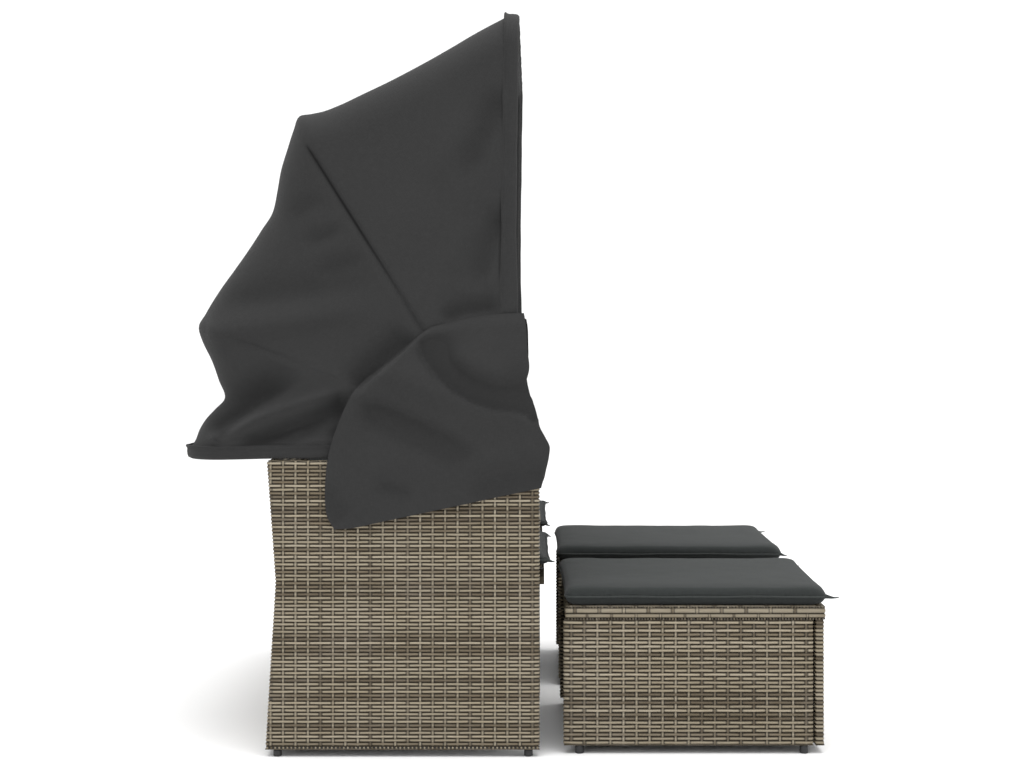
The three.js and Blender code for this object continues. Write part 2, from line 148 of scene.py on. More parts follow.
def wicker_material(name):
    """Flat extruded strands: each has its own tint, with streaks, fine grooves and scuffs along it; the tint attribute
    also carries painted shade at each strand's edges and where it dives under its neighbour.
    """
    m = Nodes(name)
    tint = m.add("ShaderNodeAttribute", attribute_name="tint").outputs["Color"]
    uv = m.add("ShaderNodeUVMap", uv_map="strand").outputs["UV"]
    streak = m.noise(m.scaled(uv, 26.0, 900.0, 1.0), 1.0, 4.0, 0.6)
    broad = m.noise(m.scaled(uv, 7.0, 60.0, 1.0), 1.0, 2.0, 0.5)
    groove = m.noise(m.scaled(uv, 4.0, 2600.0, 1.0), 1.0, 1.0, 0.4)
    c = m.mix(m.range(streak, 0.35, 0.68, 0.0, 0.42), tint, (0.30, 0.245, 0.19, 1.0), "MULTIPLY")
    c = m.mix(m.range(broad, 0.4, 0.7, 0.0, 0.35), c, (0.42, 0.37, 0.31, 1.0), "SOFT_LIGHT")
    c = m.mix(m.range(groove, 0.55, 0.75, 0.0, 0.2), c, (0.55, 0.5, 0.44, 1.0), "MULTIPLY")
    place = m.add("ShaderNodeTexCoord").outputs["Object"]
    dust = m.noise(place, 9.0, 4.0, 0.6)
    c = m.mix(m.range(dust, 0.45, 0.75, 0.0, 0.16), c, (0.36, 0.32, 0.27, 1.0))
    rough = m.range(streak, 0.3, 0.7, 0.44, 0.62)
    h = m.math("ADD", m.math("MULTIPLY", groove, 0.6), m.math("MULTIPLY", streak, 0.4))
    m.shader.inputs["Specular IOR Level"].default_value = 0.4
    return m.finish(c, rough, m.bump(h, 0.0004, 0.7))


def fabric_material(name, color, light, period, uv_map=None, sheen=0.25, bump=0.00022, shaded=False):
    """Plain-woven polyester: crossing threads, slub, a slight mottle, and a soft sheen; with shaded, painted shade from
    the shade attribute multiplies the colour.
    """
    m = Nodes(name)
    if uv_map:
        v = m.add("ShaderNodeUVMap", uv_map=uv_map).outputs["UV"]
    else:
        v = m.add("ShaderNodeTexCoord").outputs["Object"]
    place = m.add("ShaderNodeTexCoord").outputs["Object"]
    sep = m.add("ShaderNodeSeparateXYZ")
    m.link(v, sep.inputs[0])
    k = 2 * math.pi / period

    def thread(axis, shift=0.0):
        a = m.math("MULTIPLY", sep.outputs[axis], k)
        if shift:
            a = m.math("ADD", a, shift)
        return m.math("ABSOLUTE", m.math("SINE", a))

    if uv_map:
        weave = m.math("MULTIPLY", thread(0), thread(1))
    else:
        weave = m.math("MULTIPLY", m.math("MULTIPLY", thread(0), thread(1)), m.math("ADD", m.math("MULTIPLY", thread(2), 0.5), 0.5))
    slub = m.noise(m.scaled(v, 420.0, 60.0, 60.0), 1.0, 2.0)
    slub2 = m.noise(m.scaled(v, 60.0, 420.0, 60.0), 1.0, 2.0)
    mottle = m.noise(place, 5.0, 4.0, 0.6)
    fine = m.noise(place, 240.0, 2.0)
    c = m.mix(m.range(mottle, 0.3, 0.75, 0.0, 1.0), color, light)
    c = m.mix(m.range(m.math("MULTIPLY", slub, slub2), 0.18, 0.36, 0.0, 0.35), c, tuple(x * 1.25 for x in light[:3]) + (1.0,))
    c = m.mix(m.range(weave, 0.0, 0.35, 0.45, 0.0), c, tuple(x * 0.45 for x in color[:3]) + (1.0,))
    # painted shade: the colour is multiplied by the shade attribute, darker in creases, seams and under pad seams
    if shaded:
        c = m.mix(1.0, c, m.add("ShaderNodeAttribute", attribute_name="shade").outputs["Color"], "MULTIPLY")
    h = m.math("ADD", weave, m.math("MULTIPLY", fine, 0.5))
    m.shader.inputs["Sheen Weight"].default_value = sheen
    m.shader.inputs["Sheen Roughness"].default_value = 0.5
    m.shader.inputs["Specular IOR Level"].default_value = 0.12
    return m.finish(c, m.range(mottle, 0.3, 0.7, 0.86, 0.96), m.bump(h, bump, 0.6))


def paint_material(name, color, rough, metallic=0.0, grain=900.0, depth=0.00006, worn=None):
    """Powder coat, zinc or moulded plastic: fine grain, faint mottle, lighter wear where it rubs."""
    m = Nodes(name)
    place = m.add("ShaderNodeTexCoord").outputs["Object"]
    grains = m.noise(place, grain, 2.0)
    mottle = m.noise(place, 22.0, 4.0, 0.6)
    c = m.mix(m.range(mottle, 0.35, 0.7, 0.0, 1.0), color, tuple(min(1.0, x * 1.35) for x in color[:3]) + (1.0,))
    if worn:
        c = m.mix(m.range(m.noise(place, 120.0, 5.0, 0.7), 0.66, 0.78, 0.0, 0.5), c, worn)
    m.shader.inputs["Metallic"].default_value = metallic
    return m.finish(c, m.range(mottle, 0.3, 0.7, rough - 0.06, rough + 0.1), m.bump(grains, depth, 0.8))


M_WICKER = wicker_material("wicker_strand")
# painted shade: a dark layer behind the strands stands in for the shade inside the woven panels
M_SHADOW_LAYER = paint_material("wicker_shadow_layer", rgb(46, 39, 27), 0.85, grain=300.0, depth=0.0002)
M_CANOPY = fabric_material("canopy_polyester", rgb(46.6, 46.6, 46.7), rgb(50.8, 50.8, 50.9), 0.0011, "cloth", sheen=0.05, shaded=True)
M_CANOPY_IN = fabric_material("canopy_polyester_hem", rgb(46.6, 46.6, 46.7), rgb(50.8, 50.8, 50.9), 0.0011, "cloth", sheen=0.05, shaded=True)
M_PAD = fabric_material("pad_polyester", rgb(46, 48.8, 48.3), rgb(50.5, 53.4, 52.8), 0.0016, None, sheen=0.08, shaded=True)
M_PIPING = fabric_material("pad_piping", rgb(52, 55, 54), rgb(58, 61, 60), 0.0013, None, sheen=0.08)
M_STEEL = paint_material("powder_coated_steel", rgb(38, 38, 40), 0.42, 0.35, 1400.0, 0.00005, rgb(70, 70, 72))
M_ZINC = paint_material("zinc_plated_steel", rgb(168, 170, 172), 0.3, 0.95, 700.0, 0.00003, rgb(120, 118, 110))
M_PLASTIC = paint_material("foot_plastic", rgb(24, 24, 25), 0.45, 0.0, 800.0, 0.00008, rgb(58, 57, 55))


# ------------------------------------------------------------------ mesh helpers
def add_mesh(name, verts, faces_flat, counts, material, smooth=True):
    me = bpy.data.meshes.new(name)
    verts = np.asarray(verts, np.float32)
    faces_flat = np.asarray(faces_flat, np.int32)
    counts = np.asarray(counts, np.int32)
    me.vertices.add(len(verts))
    me.vertices.foreach_set("co", verts.ravel())
    me.loops.add(len(faces_flat))
    me.loops.foreach_set("vertex_index", faces_flat)
    me.polygons.add(len(counts))
    me.polygons.foreach_set("loop_start", np.concatenate(([0], np.cumsum(counts)[:-1])).astype(np.int32))
    me.polygons.foreach_set("use_smooth", np.full(len(counts), smooth))
    me.update(calc_edges=True)
    ob = bpy.data.objects.new(name, me)
    scene.collection.objects.link(ob)
    for mat in (material if isinstance(material, (list, tuple)) else [material]):
        me.materials.append(mat)
    return ob


def smoothstep(x):
    x = np.clip(x, 0.0, 1.0)
    return x * x * (3 - 2 * x)


# ------------------------------------------------------------------ woven strands
ROUND = np.array([(-1.0, -0.5), (-0.66, 0.28), (0.0, 0.5), (0.66, 0.28), (1.0, -0.5)])
FLAT = np.array([(-1.0, -0.45), (-0.72, 0.5), (0.72, 0.5), (1.0, -0.45)])

ROUND_SHADE = np.array([0.22, 0.80, 1.0, 0.80, 0.22])       # painted shade: each strand darker towards its edges, where the grooves between strands lie in shade
FLAT_SHADE = np.array([0.22, 0.92, 0.92, 0.22])

STRAW = [rgb(158, 148, 127), rgb(151, 141, 120), rgb(164, 154, 134), rgb(145, 135, 115)]
BARK = [rgb(103, 92, 72), rgb(112, 101, 81), rgb(95, 84, 65), rgb(122, 111, 91)]


class Weave:
    """Collects closed strands and makes one mesh of them, with a tint for each and a map along them; each tint is
    darkened by painted shade along and across the strand.
    """

    def __init__(self, name, seed):
        self.name = name
        self.rng = np.random.default_rng(seed)
        self.v, self.f, self.counts, self.col, self.strips, self.uv = [], [], [], [], [], []
        self.mat = []
        self.n = 0

    def tint(self, dark=0.0):
        bank = BARK if self.rng.random() < dark else STRAW
        c = np.array(bank[self.rng.integers(len(bank))][:3])
        return c * self.rng.uniform(0.94, 1.05)

    def strand(self, pts, nrm, width, thick, tint, closed=False, profile=ROUND, shade=None):
        pts = np.asarray(pts, float)
        nrm = np.asarray(nrm, float)
        n, k = len(pts), len(profile)
        across = ROUND_SHADE if k == 5 else FLAT_SHADE
        along = np.ones(n) if shade is None else np.asarray(shade, float)
        if n < 2:
            return
        if closed:
            tan = np.roll(pts, -1, 0) - np.roll(pts, 1, 0)
        else:
            tan = np.empty_like(pts)
            tan[1:-1] = pts[2:] - pts[:-2]
            tan[0], tan[-1] = pts[1] - pts[0], pts[-1] - pts[-2]
        tan /= np.linalg.norm(tan, axis=1, keepdims=True) + 1e-12
        nrm = nrm - tan * (nrm * tan).sum(1, keepdims=True)
        nrm /= np.linalg.norm(nrm, axis=1, keepdims=True) + 1e-12
        side = np.cross(tan, nrm)
        w = np.broadcast_to(np.asarray(width, float) / 2, (n,))
        v = (pts[:, None] + side[:, None] * (profile[None, :, 0, None] * w[:, None, None])
             + nrm[:, None] * (profile[None, :, 1, None] * thick))
        self.v.append(v.reshape(-1, 3))
        seg = n if closed else n - 1
        i = np.arange(seg)[:, None]
        j = np.arange(k)[None, :]
        i2, j2 = (i + 1) % n, (j + 1) % k
        a, b, c, d = i * k + j, i * k + j2, i2 * k + j2, i2 * k + j
        quads = np.stack([a, d, c, b], -1).reshape(-1, 4) + self.n
        self.f.append(quads.ravel())
        self.counts.append(np.full(len(quads), 4))
        length = np.linalg.norm(np.diff(pts, axis=0), axis=1)
        if closed:
            length = np.append(length, np.linalg.norm(pts[0] - pts[-1]))
        run = np.concatenate(([0.0], np.cumsum(length)))
        ring = np.roll(profile, -1, 0) - profile
        around = np.concatenate(([0.0], np.cumsum(np.hypot(ring[:, 0] * w[0], ring[:, 1] * thick))))
        u = np.stack([run[:-1], run[1:], run[1:], run[:-1]], -1)[:seg, None, :].repeat(k, 1)
        t = np.stack([around[:-1], around[:-1], around[1:], around[1:]], -1)[None].repeat(seg, 0)
        uv = np.stack([u, t], -1).reshape(-1, 2)
        strips = [(len(uv), run[seg] if closed else run[-1], around[-1])]
        if not closed:
            lo = np.arange(k)
            hi = (n - 1) * k + np.arange(k)[::-1]
            self.f.append(np.concatenate([lo, hi]) + self.n)
            self.counts.append(np.array([k, k]))
            cap = profile * (w[0], thick)
            uv = np.concatenate([uv, cap + (0.0, around[-1] / 2), cap[::-1] + (run[-1], around[-1] / 2)])
            strips = [(len(uv), run[-1], around[-1])]
        self.uv.append(uv)
        self.strips += strips
        # painted shade: the strand's tint times its along shade (dives and ends) and its across shade (edges)
        self.col.append((along[:, None] * across[None]).reshape(-1, 1) * np.asarray(tint)[None])
        self.n += n * k

    def build(self, body, *nodes, shade_boards=None):
        v = np.concatenate(self.v)
        counts = np.concatenate([c for c in self.counts])
        ob = add_mesh(self.name, v, np.concatenate(self.f), counts, [M_WICKER, M_SHADOW_LAYER])
        me = ob.data
        attr = me.color_attributes.new("tint", "FLOAT_COLOR", "POINT")
        attr.data.foreach_set("color", np.concatenate([np.concatenate(self.col), np.ones((self.n, 1))], 1).astype(np.float32).ravel())
        # two maps: one along each strand in metres, and one with the strands laid side by side
        strand = np.concatenate(self.uv)
        widest = max(s[2] for s in self.strips) * 1.25
        longest = max(s[1] for s in self.strips) * 1.02
        columns = max(1, int(round(math.sqrt(len(self.strips) * widest / longest))))
        room = np.zeros(columns)
        atlas = strand.copy()
        at = 0
        for count, length, around in self.strips:
            c = int(np.argmin(room))
            atlas[at:at + count, 0] += c * longest
            atlas[at:at + count, 1] += room[c] + around * 0.1
            room[c] += around * 1.25
            at += count
        size = max(columns * longest, room.max())
        for title, data in (("OFBake", atlas / size), ("strand", strand + np.repeat(np.arange(len(self.strips)), [s[0] for s in self.strips])[:, None] * (0.37, 0.0))):
            layer = me.uv_layers.new(name=title)
            layer.data.foreach_set("uv", data.astype(np.float32).ravel())
        me.uv_layers.active = me.uv_layers["OFBake"]
        if shade_boards is not None:
            self.add_shade_boards(ob, shade_boards)
        ob.data.update()
        if nodes:
            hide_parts(*nodes)
        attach(ob, body)
        return ob

    def add_shade_boards(self, ob, boards):
        """Thin dark boards behind the strands, joined to the piece: painted shade standing in for the shade inside the
        weave.
        """
        bm = bmesh.new()
        bm.from_mesh(ob.data)
        for outline, offset in boards:
            lo = [bm.verts.new(p) for p in outline]
            hi = [bm.verts.new(Vector(p) + Vector(offset)) for p in outline]
            n = len(lo)
            made = [bm.faces.new(lo[::-1]), bm.faces.new(hi)]
            made += [bm.faces.new((lo[i], lo[(i + 1) % n], hi[(i + 1) % n], hi[i])) for i in range(n)]
            for f in made:
                f.material_index = 1
            bmesh.ops.recalc_face_normals(bm, faces=made)
        layer = bm.loops.layers.uv.get("OFBake")
        if layer:
            for f in bm.faces:
                if f.material_index == 1:
                    for k, loop in enumerate(f.loops):
                        loop[layer].uv = (0.9965 + 0.002 * (k % 2), 0.9965 + 0.002 * (k // 2 % 2))
        bm.to_mesh(ob.data)
        bm.free()


def crossings(lo, hi, start, spacing, parity, half_width=0.0034):
    """Places along a strand between lo and hi, how far it lies over (1) or under (-1) there, and the light it keeps: it goes
    over every other crossing strand in one long float, and dives short and steep under the ones between."""
    k0, k1 = int(math.floor((lo - start) / spacing)), int(math.ceil((hi - start) / spacing))
    a, off, light = [], [], []
    for k in range(k0, k1 + 1):
        c = start + k * spacing
        if (k + parity) % 2 == 0:
            a.append(c); off.append(1.0); light.append(1.0)
        else:
            for d, o, l in ((-half_width - 0.0030, 0.86, 1.0), (-half_width - 0.0008, 0.2, 0.34), (0.0, -1.0, 0.14), (half_width + 0.0008, 0.2, 0.34), (half_width + 0.0030, 0.86, 1.0)):
                a.append(c + d); off.append(o); light.append(l)
    a, off, light = np.array(a), np.array(off), np.array(light)
    keep = (a > lo) & (a < hi)
    return a[keep], off[keep], light[keep]


def over_under(phase):
    """1 where a strand lies over, -1 where it lies under."""
    return np.cos(np.asarray(phase, float))


def dip(over):
    """How much light a strand keeps where it dives under its neighbour."""
    return 0.2 + 0.8 * smoothstep(np.asarray(over) + 1.0)


def plain_weave(w, place, turn, lo, hi, b0, b1, pitch, spacing, width, thick, amp, half=None, start=0.0,
                warp_width=0.0053, dark=0.42, dark_rows=(), top=True, ends=0.0013, rc=0.0045, warp_dark=0.45):
    """Rows of weft round a panel (half is half its thickness) or on one face (half None), with warps over the top edge.
    place(a, b, n) gives a point from local coordinates, and turn(va, vb, vn) a direction."""
    rows = max(2, int(round((b1 - b0) / pitch)))
    step = (b1 - b0) / rows
    centre = [b0 + (r + 0.5) * step for r in range(rows)]
    k0 = int(math.floor((min(lo(b) for b in centre) - start) / spacing)) - 1
    k1 = int(math.ceil((max(hi(b) for b in centre) - start) / spacing)) + 1
    run_dark = 0
    for r, b in enumerate(centre):
        a0, a1 = lo(b) + ends, hi(b) - ends
        if run_dark > 0:
            run_dark -= 1
            is_dark = True
        else:
            is_dark = w.rng.random() < dark * 0.6
            if is_dark and w.rng.random() < 0.3:
                run_dark = 1
        if any(abs(b - d) < step * 0.5 for d in dark_rows):
            is_dark = True
        tint = w.tint(1.0 if is_dark else 0.0)
        inside, off, light = crossings(a0 + rc, a1 - rc, start, spacing, r)
        off = amp * off
        wob = step * 0.03 * np.sin(inside * 61.0 + r * 2.1)
        if half is None:
            aa = np.concatenate(([a0], inside, [a1]))
            nn = np.concatenate(([0.0], off, [0.0]))
            bb = np.concatenate(([b], b + wob, [b]))
            zero = np.zeros(len(aa))
            w.strand(place(aa, bb, nn), turn(zero, zero, zero + 1), width, thick, tint, shade=np.concatenate(([0.6], light, [0.6])))
        else:
            q = rc * 0.2929
            ea = np.array([a1 - q, a1, a1, a1, a1 - q])
            en = np.array([half - q, half - rc, 0.0, rc - half, q - half])
            va = np.array([0.7071, 1.0, 1.0, 1.0, 0.7071])
            vn = np.array([0.7071, 0.0, 0.0, 0.0, -0.7071])
            fa = np.array([a0 + q, a0, a0, a0, a0 + q])
            aa = np.concatenate((inside, ea, inside[::-1], fa))
            nn = np.concatenate((half + off, en, -(half + off[::-1]), -en))
            na = np.concatenate((0 * off, va, 0 * off, -va))
            no = np.concatenate((0 * off + 1, vn, 0 * off - 1, -vn))
            bb = b + np.concatenate((wob, np.zeros(5), wob[::-1], np.zeros(5)))
            w.strand(place(aa, bb, nn), turn(na, 0 * na, no), width, thick, tint, closed=True, shade=np.concatenate((light, np.full(5, 0.95), light[::-1], np.full(5, 0.95))))
    runs = []
    for k in range(k0, k1 + 1):
        a = start + k * spacing
        run = []
        for r, b in enumerate(centre):
            if lo(b) + rc + 0.002 < a < hi(b) - rc - 0.002:
                run.append((r, b))
            elif run:
                runs.append((k, a, run))
                run = []
        if run:
            runs.append((k, a, run))
    for k, a, keep in runs:
        if len(keep) < 3:
            continue
        bb = np.array([b for _, b in keep])
        off = np.array([-amp * over_under(math.pi * (k + r)) for r, _ in keep])
        tint = w.tint(warp_dark)
        first, last = bb[0] < b0 + step, bb[-1] > b1 - step
        e0, e1 = (b0 if first else bb[0] - step * 0.5), (b1 if last else bb[-1] + step * 0.5)
        d = dip(off / amp)
        if half is None:
            bb = np.concatenate(([e0], bb, [e1]))
            nn = np.concatenate(([0.0], off, [0.0]))
            aa = np.full(len(bb), a)
            w.strand(place(aa, bb, nn), turn(0 * aa, 0 * aa, 0 * aa + 1), warp_width, thick * 0.85, tint, profile=FLAT, shade=np.concatenate(([0.5], d, [0.5])))
        elif top and first and last:
            t = b1 + 0.0012
            q = rc * 0.2929
            eb = np.array([t - rc, t - q, t, t, t, t - q, t - rc])
            en = np.array([half, half - q, half - rc, 0.0, rc - half, q - half, -half])
            vb = np.array([0.0, 0.7071, 1.0, 1.0, 1.0, 0.7071, 0.0])
            vn = np.array([1.0, 0.7071, 0.0, 0.0, 0.0, -0.7071, -1.0])
            own = bb < t - rc - 0.001
            bb, off, d = bb[own], off[own], d[own]
            b_all = np.concatenate(([b0], bb, eb, bb[::-1], [b0]))
            n_all = np.concatenate(([half], half + off, en, -(half + off[::-1]), [-half]))
            nb = np.concatenate(([0.0], 0 * off, vb, 0 * off, [0.0]))
            nn = np.concatenate(([1.0], 0 * off + 1, vn, 0 * off - 1, [-1.0]))
            aa = np.full(len(b_all), a)
            w.strand(place(aa, b_all, n_all), turn(0 * aa, nb, nn), warp_width, thick * 0.85, tint, profile=FLAT,
                     shade=np.concatenate(([0.5], d, np.full(7, 0.9), d[::-1], [0.5])))
        else:
            for s in (1.0, -1.0):
                b_all = np.concatenate(([e0], bb, [e1]))
                n_all = s * np.concatenate(([half], half + off, [half]))
                aa = np.full(len(b_all), a)
                w.strand(place(aa, b_all, n_all), turn(0 * aa, 0 * aa, 0 * aa + s), warp_width, thick * 0.85, tint, profile=FLAT,
                         shade=np.concatenate(([0.5], d, [0.5])))


def binding(w, place, turn, a0, a1, b, half, width=0.0034, beads=0.0):
    """A strand along a panel's bottom edge on both faces, with a row of small binding turns above it where beads is their height."""
    for s in (1.0, -1.0):
        aa = np.linspace(a0, a1, 24)
        w.strand(place(aa, 0 * aa + b + width / 2, s * (half + 0 * aa)), turn(0 * aa, 0 * aa, 0 * aa + s), width, 0.0018, w.tint(1.0) * 0.6)
        count = int((a1 - a0) / 0.0088) if beads else 0
        for i in range(count):
            a = a0 + (i + 0.5) * (a1 - a0) / count
            bb = b + width * 0.75 + np.array([0.0, beads * 0.3, beads * 0.7, beads])
            nn = s * (half + np.array([-0.0009, 0.0004, 0.0004, -0.0009]))
            aa = a + np.array([-0.0004, 0.0, 0.0, 0.0004])
            w.strand(place(aa, bb, nn), turn(0 * aa, 0 * aa, 0 * aa + s), 0.0050, 0.0018, w.tint(0.15), shade=(0.4, 1.0, 1.0, 0.4))


def mapping(origin, A, B, N):
    O, A, B, N = (np.array(x, float) for x in (origin, A, B, N))

    def place(a, b, n):
        return O + np.outer(a, A) + np.outer(b, B) + np.outer(n, N)

    def turn(a, b, n):
        return np.outer(a, A) + np.outer(b, B) + np.outer(n, N)
    return place, turn


# sofa side panels
REAR = ((0.0155, -0.592), (0.385, -0.570), (0.653, -0.589))      # (z, x) of the rear edge in the side view


def rear(z):
    return SX + np.interp(z, [p[0] for p in REAR], [p[1] for p in REAR])


for side, s in SIDES:
    w = Weave(f"arm_wicker_{side}", 11 + int(s))
    place, turn = mapping((0, s * 0.6285, 0), (1, 0, 0), (0, 0, 1), (0, s, 0))
    plain_weave(w, place, turn, rear, lambda z: SX + 0.0154, 0.0239, 0.6513, 0.00826, 0.0275, 0.0057, 0.0016, 0.00065, half=0.0116,
                start=SX - 0.0014, dark=0.08, warp_dark=0.15,
                dark_rows=(0.6391, 0.6307, 0.6226, 0.6056, 0.5785, 0.5692, 0.5486, 0.5398, 0.5228, 0.5148, 0.4983, 0.457, 0.383, 0.3748, 0.3583,
                           0.2444, 0.2362, 0.2278, 0.1689, 0.1336, 0.1270, 0.0718, 0.064, 0.0298))
    for n in (-0.0072, 0.0, 0.0072):        # rows along the top
        aa = np.arange(rear(0.65) + 0.003, SX + 0.0125, 0.0275 / 3)
        zz = 0.6522 + 0.0005 * over_under(math.pi * ((aa - SX + 0.0014) / 0.0275 + round(n / 0.0072)))
        w.strand(place(aa, zz, np.full(len(aa), n)), turn(0 * aa, 0 * aa + 1, 0 * aa), 0.0062, 0.0012, w.tint(0.3))
    binding(w, place, turn, rear(0.02) + 0.001, SX + 0.0145, 0.0155, 0.0116, 0.0030, 0.0040)
    z = (0.0215, 0.385, 0.649)
    outline = [(rear(h) + 0.004, s * 0.63853, h) for h in z] + [(SX + 0.0114, s * 0.63853, h) for h in (z[2], z[0])]
    w.build("sofa", f"arm_weave_{side}", shade_boards=[(outline, (0, s * 0.00015, 0))])

# back panel, in two halves up its height
for name, z0, z1, top in (("lower", 0.0212, 0.3855, False), ("upper", 0.3855, 0.6508, True)):
    w = Weave(f"back_wicker_{name}", 31 if top else 32)

    def place(a, b, n):
        a, b, n = np.broadcast_arrays(np.asarray(a, float), np.asarray(b, float), np.asarray(n, float))
        return np.stack([rear(b) + 0.0125 - n, -a, b], -1)

    def turn(a, b, n):
        return np.stack([-np.asarray(n, float), -np.asarray(a, float), np.asarray(b, float)], -1)

    plain_weave(w, place, turn, lambda b: -0.6145, lambda b: 0.6145, z0, z1, 0.0082, 0.0275, 0.0057, 0.0016, 0.00065, half=0.0114, start=0.0, top=top)
    if top:
        for n in (-0.0072, 0.0, 0.0072):
            aa = np.arange(-0.6125, 0.6125, 0.0275 / 3)
            zz = 0.6522 + 0.0005 * over_under(math.pi * (aa / 0.0275 + round(n / 0.0072)))
            w.strand(place(aa, zz, np.full(len(aa), n)), turn(0 * aa, 0 * aa + 1, 0 * aa), 0.0062, 0.0012, w.tint(0.3))
    else:
        binding(w, place, turn, -0.612, 0.612, 0.0155, 0.0114, 0.0030, 0.0040)
    y = 0.612
    zz = (z0 + 0.001, z1) if not top else (z0, z1 - 0.002)
    w.build("sofa", *(["back_weave"] if top else []), shade_boards=[([(rear(zz[0]) + 0.0022, -y, zz[0]), (rear(zz[0]) + 0.0022, y, zz[0]),
            (rear(zz[1]) + 0.0022, y, zz[1]), (rear(zz[1]) + 0.0022, -y, zz[1])], (0.0002, 0, 0))])

# seats: woven top sheet that turns down into the front apron
for side, s in SIDES:
    w = Weave(f"seat_wicker_{side}", 41 + int(s))
    x0, x1 = SX - 0.543, SX + 0.0240
    z1, z0 = 0.4157, 0.376
    bend = 0.004
    flat_length = x1 - bend - x0
    arc = bend * math.pi / 2
    total = flat_length + arc + (z1 - bend - z0)

    def place(a, b, n, s=s):
        a, b, n = np.broadcast_arrays(np.asarray(a, float), np.asarray(b, float), np.asarray(n, float))
        on, round_, down = b <= flat_length, (b > flat_length) & (b < flat_length + arc), b >= flat_length + arc
        phi = np.clip((b - flat_length) / bend, 0, math.pi / 2)
        x = np.where(on, x0 + b, x1 - bend + (bend + n) * np.sin(phi))
        z = np.where(on, z1 + n, z1 - bend + (bend + n) * np.cos(phi))
        z = np.where(down, z1 - bend - (b - flat_length - arc), z)
        return np.stack([x, s * a, z], -1)

    rows = int(round(total / 0.0082))
    step = total / rows
    for r in range(rows):
        b = (r + 0.5) * step
        phi = np.clip((b - flat_length) / bend, 0, math.pi / 2)
        inside, off, light = crossings(0.108, 0.6125, 0.118, 0.0275, r)
        off = 0.00055 * off
        aa = np.concatenate(([0.1056], inside, [0.6144]))
        nn = np.concatenate(([0.0], off, [0.0]))
        nrm = np.tile((math.sin(phi), 0, math.cos(phi)), (len(aa), 1))
        w.strand(place(aa, b, nn), nrm, 0.0057, 0.0015, w.tint(1.0 if w.rng.random() < 0.3 else 0.0), shade=np.concatenate(([0.6], light, [0.6])))
    for k in range(18):
        a = 0.118 + k * 0.0275
        b = (np.arange(rows) + 0.5) * step
        off = -0.00055 * over_under(math.pi * (k + np.arange(rows)))
        phi = np.clip((b - flat_length) / bend, 0, math.pi / 2)
        nrm = np.stack([np.sin(phi), 0 * phi, np.cos(phi)], -1)
        w.strand(place(np.full(rows, a), b, off), nrm, 0.0053, 0.0012, w.tint(0.45), profile=FLAT, shade=dip(off / 0.00055))
    for k in range(int(0.509 / 0.0088)):      # bound lower edge of the apron
        a = 0.1056 + (k + 0.5) * 0.0088
        p = np.array([(x1 - 0.0008, s * a, z0 - 0.0004), (x1 + 0.0004, s * a, z0 + 0.001), (x1 + 0.0006, s * (a + 0.0008), z0 + 0.005)])
        w.strand(p, np.tile((1.0, 0, 0), (3, 1)), 0.0052, 0.0014, w.tint(0.25))
    ya, yb = s * 0.1066, s * 0.6134
    top_board = [(x0 + 0.002, ya, 0.4141), (x1 - 0.003, ya, 0.4141), (x1 - 0.003, yb, 0.4141), (x0 + 0.002, yb, 0.4141)]
    front_board = [(x1 - 0.0018, ya, z0 + 0.002), (x1 - 0.0018, yb, z0 + 0.002), (x1 - 0.0018, yb, z1 - 0.004), (x1 - 0.0018, ya, z1 - 0.004)]
    ends = [([(x1 - 0.0125, s * 0.6144, z0 + 0.0008), (x1 + 0.0010, s * 0.6144, z0 + 0.0008), (x1 + 0.0010, s * 0.6144, z1 - 0.0045), (x1 - 0.0125, s * 0.6144, z1 - 0.0045)], (0, s * 0.0012, 0))]
    w.build("sofa", f"seat_weave_{side}", shade_boards=[(top_board, (0, 0, 0.00015)), (front_board, (0.0002, 0, 0))] + ends)

# console between the seats
w = Weave("console_wicker", 51)
cx0, cx1 = SX - 0.543, SX + 0.0175
for s in (-1.0, 1.0):
    place, turn = mapping((0, s * 0.1027, 0), (1, 0, 0), (0, 0, 1), (0, s, 0))
    plain_weave(w, place, turn, lambda b: cx0, lambda b: cx1 - 0.0012, 0.0162, 0.4495, 0.0082, 0.0275, 0.0057, 0.0015, 0.00055, start=SX)
place, turn = mapping((cx1 - 0.0011, 0, 0), (0, 1, 0), (0, 0, 1), (1, 0, 0))
plain_weave(w, place, turn, lambda b: -0.1035, lambda b: 0.1035, 0.0162, 0.4495, 0.0082, 0.0275, 0.0057, 0.0015, 0.00055, start=0.0)
boards = [([(cx0, s * 0.1012, 0.0165), (cx1 - 0.003, s * 0.1012, 0.0165), (cx1 - 0.003, s * 0.1012, 0.449), (cx0, s * 0.1012, 0.449)], (0, -s * 0.0015, 0)) for s in (-1, 1)]
boards.append(([(cx1 - 0.0026, -0.1012, 0.0165), (cx1 - 0.0026, 0.1012, 0.0165), (cx1 - 0.0026, 0.1012, 0.449), (cx1 - 0.0026, -0.1012, 0.449)], (-0.0015, 0, 0)))
w.build("sofa", "console_box", shade_boards=boards)

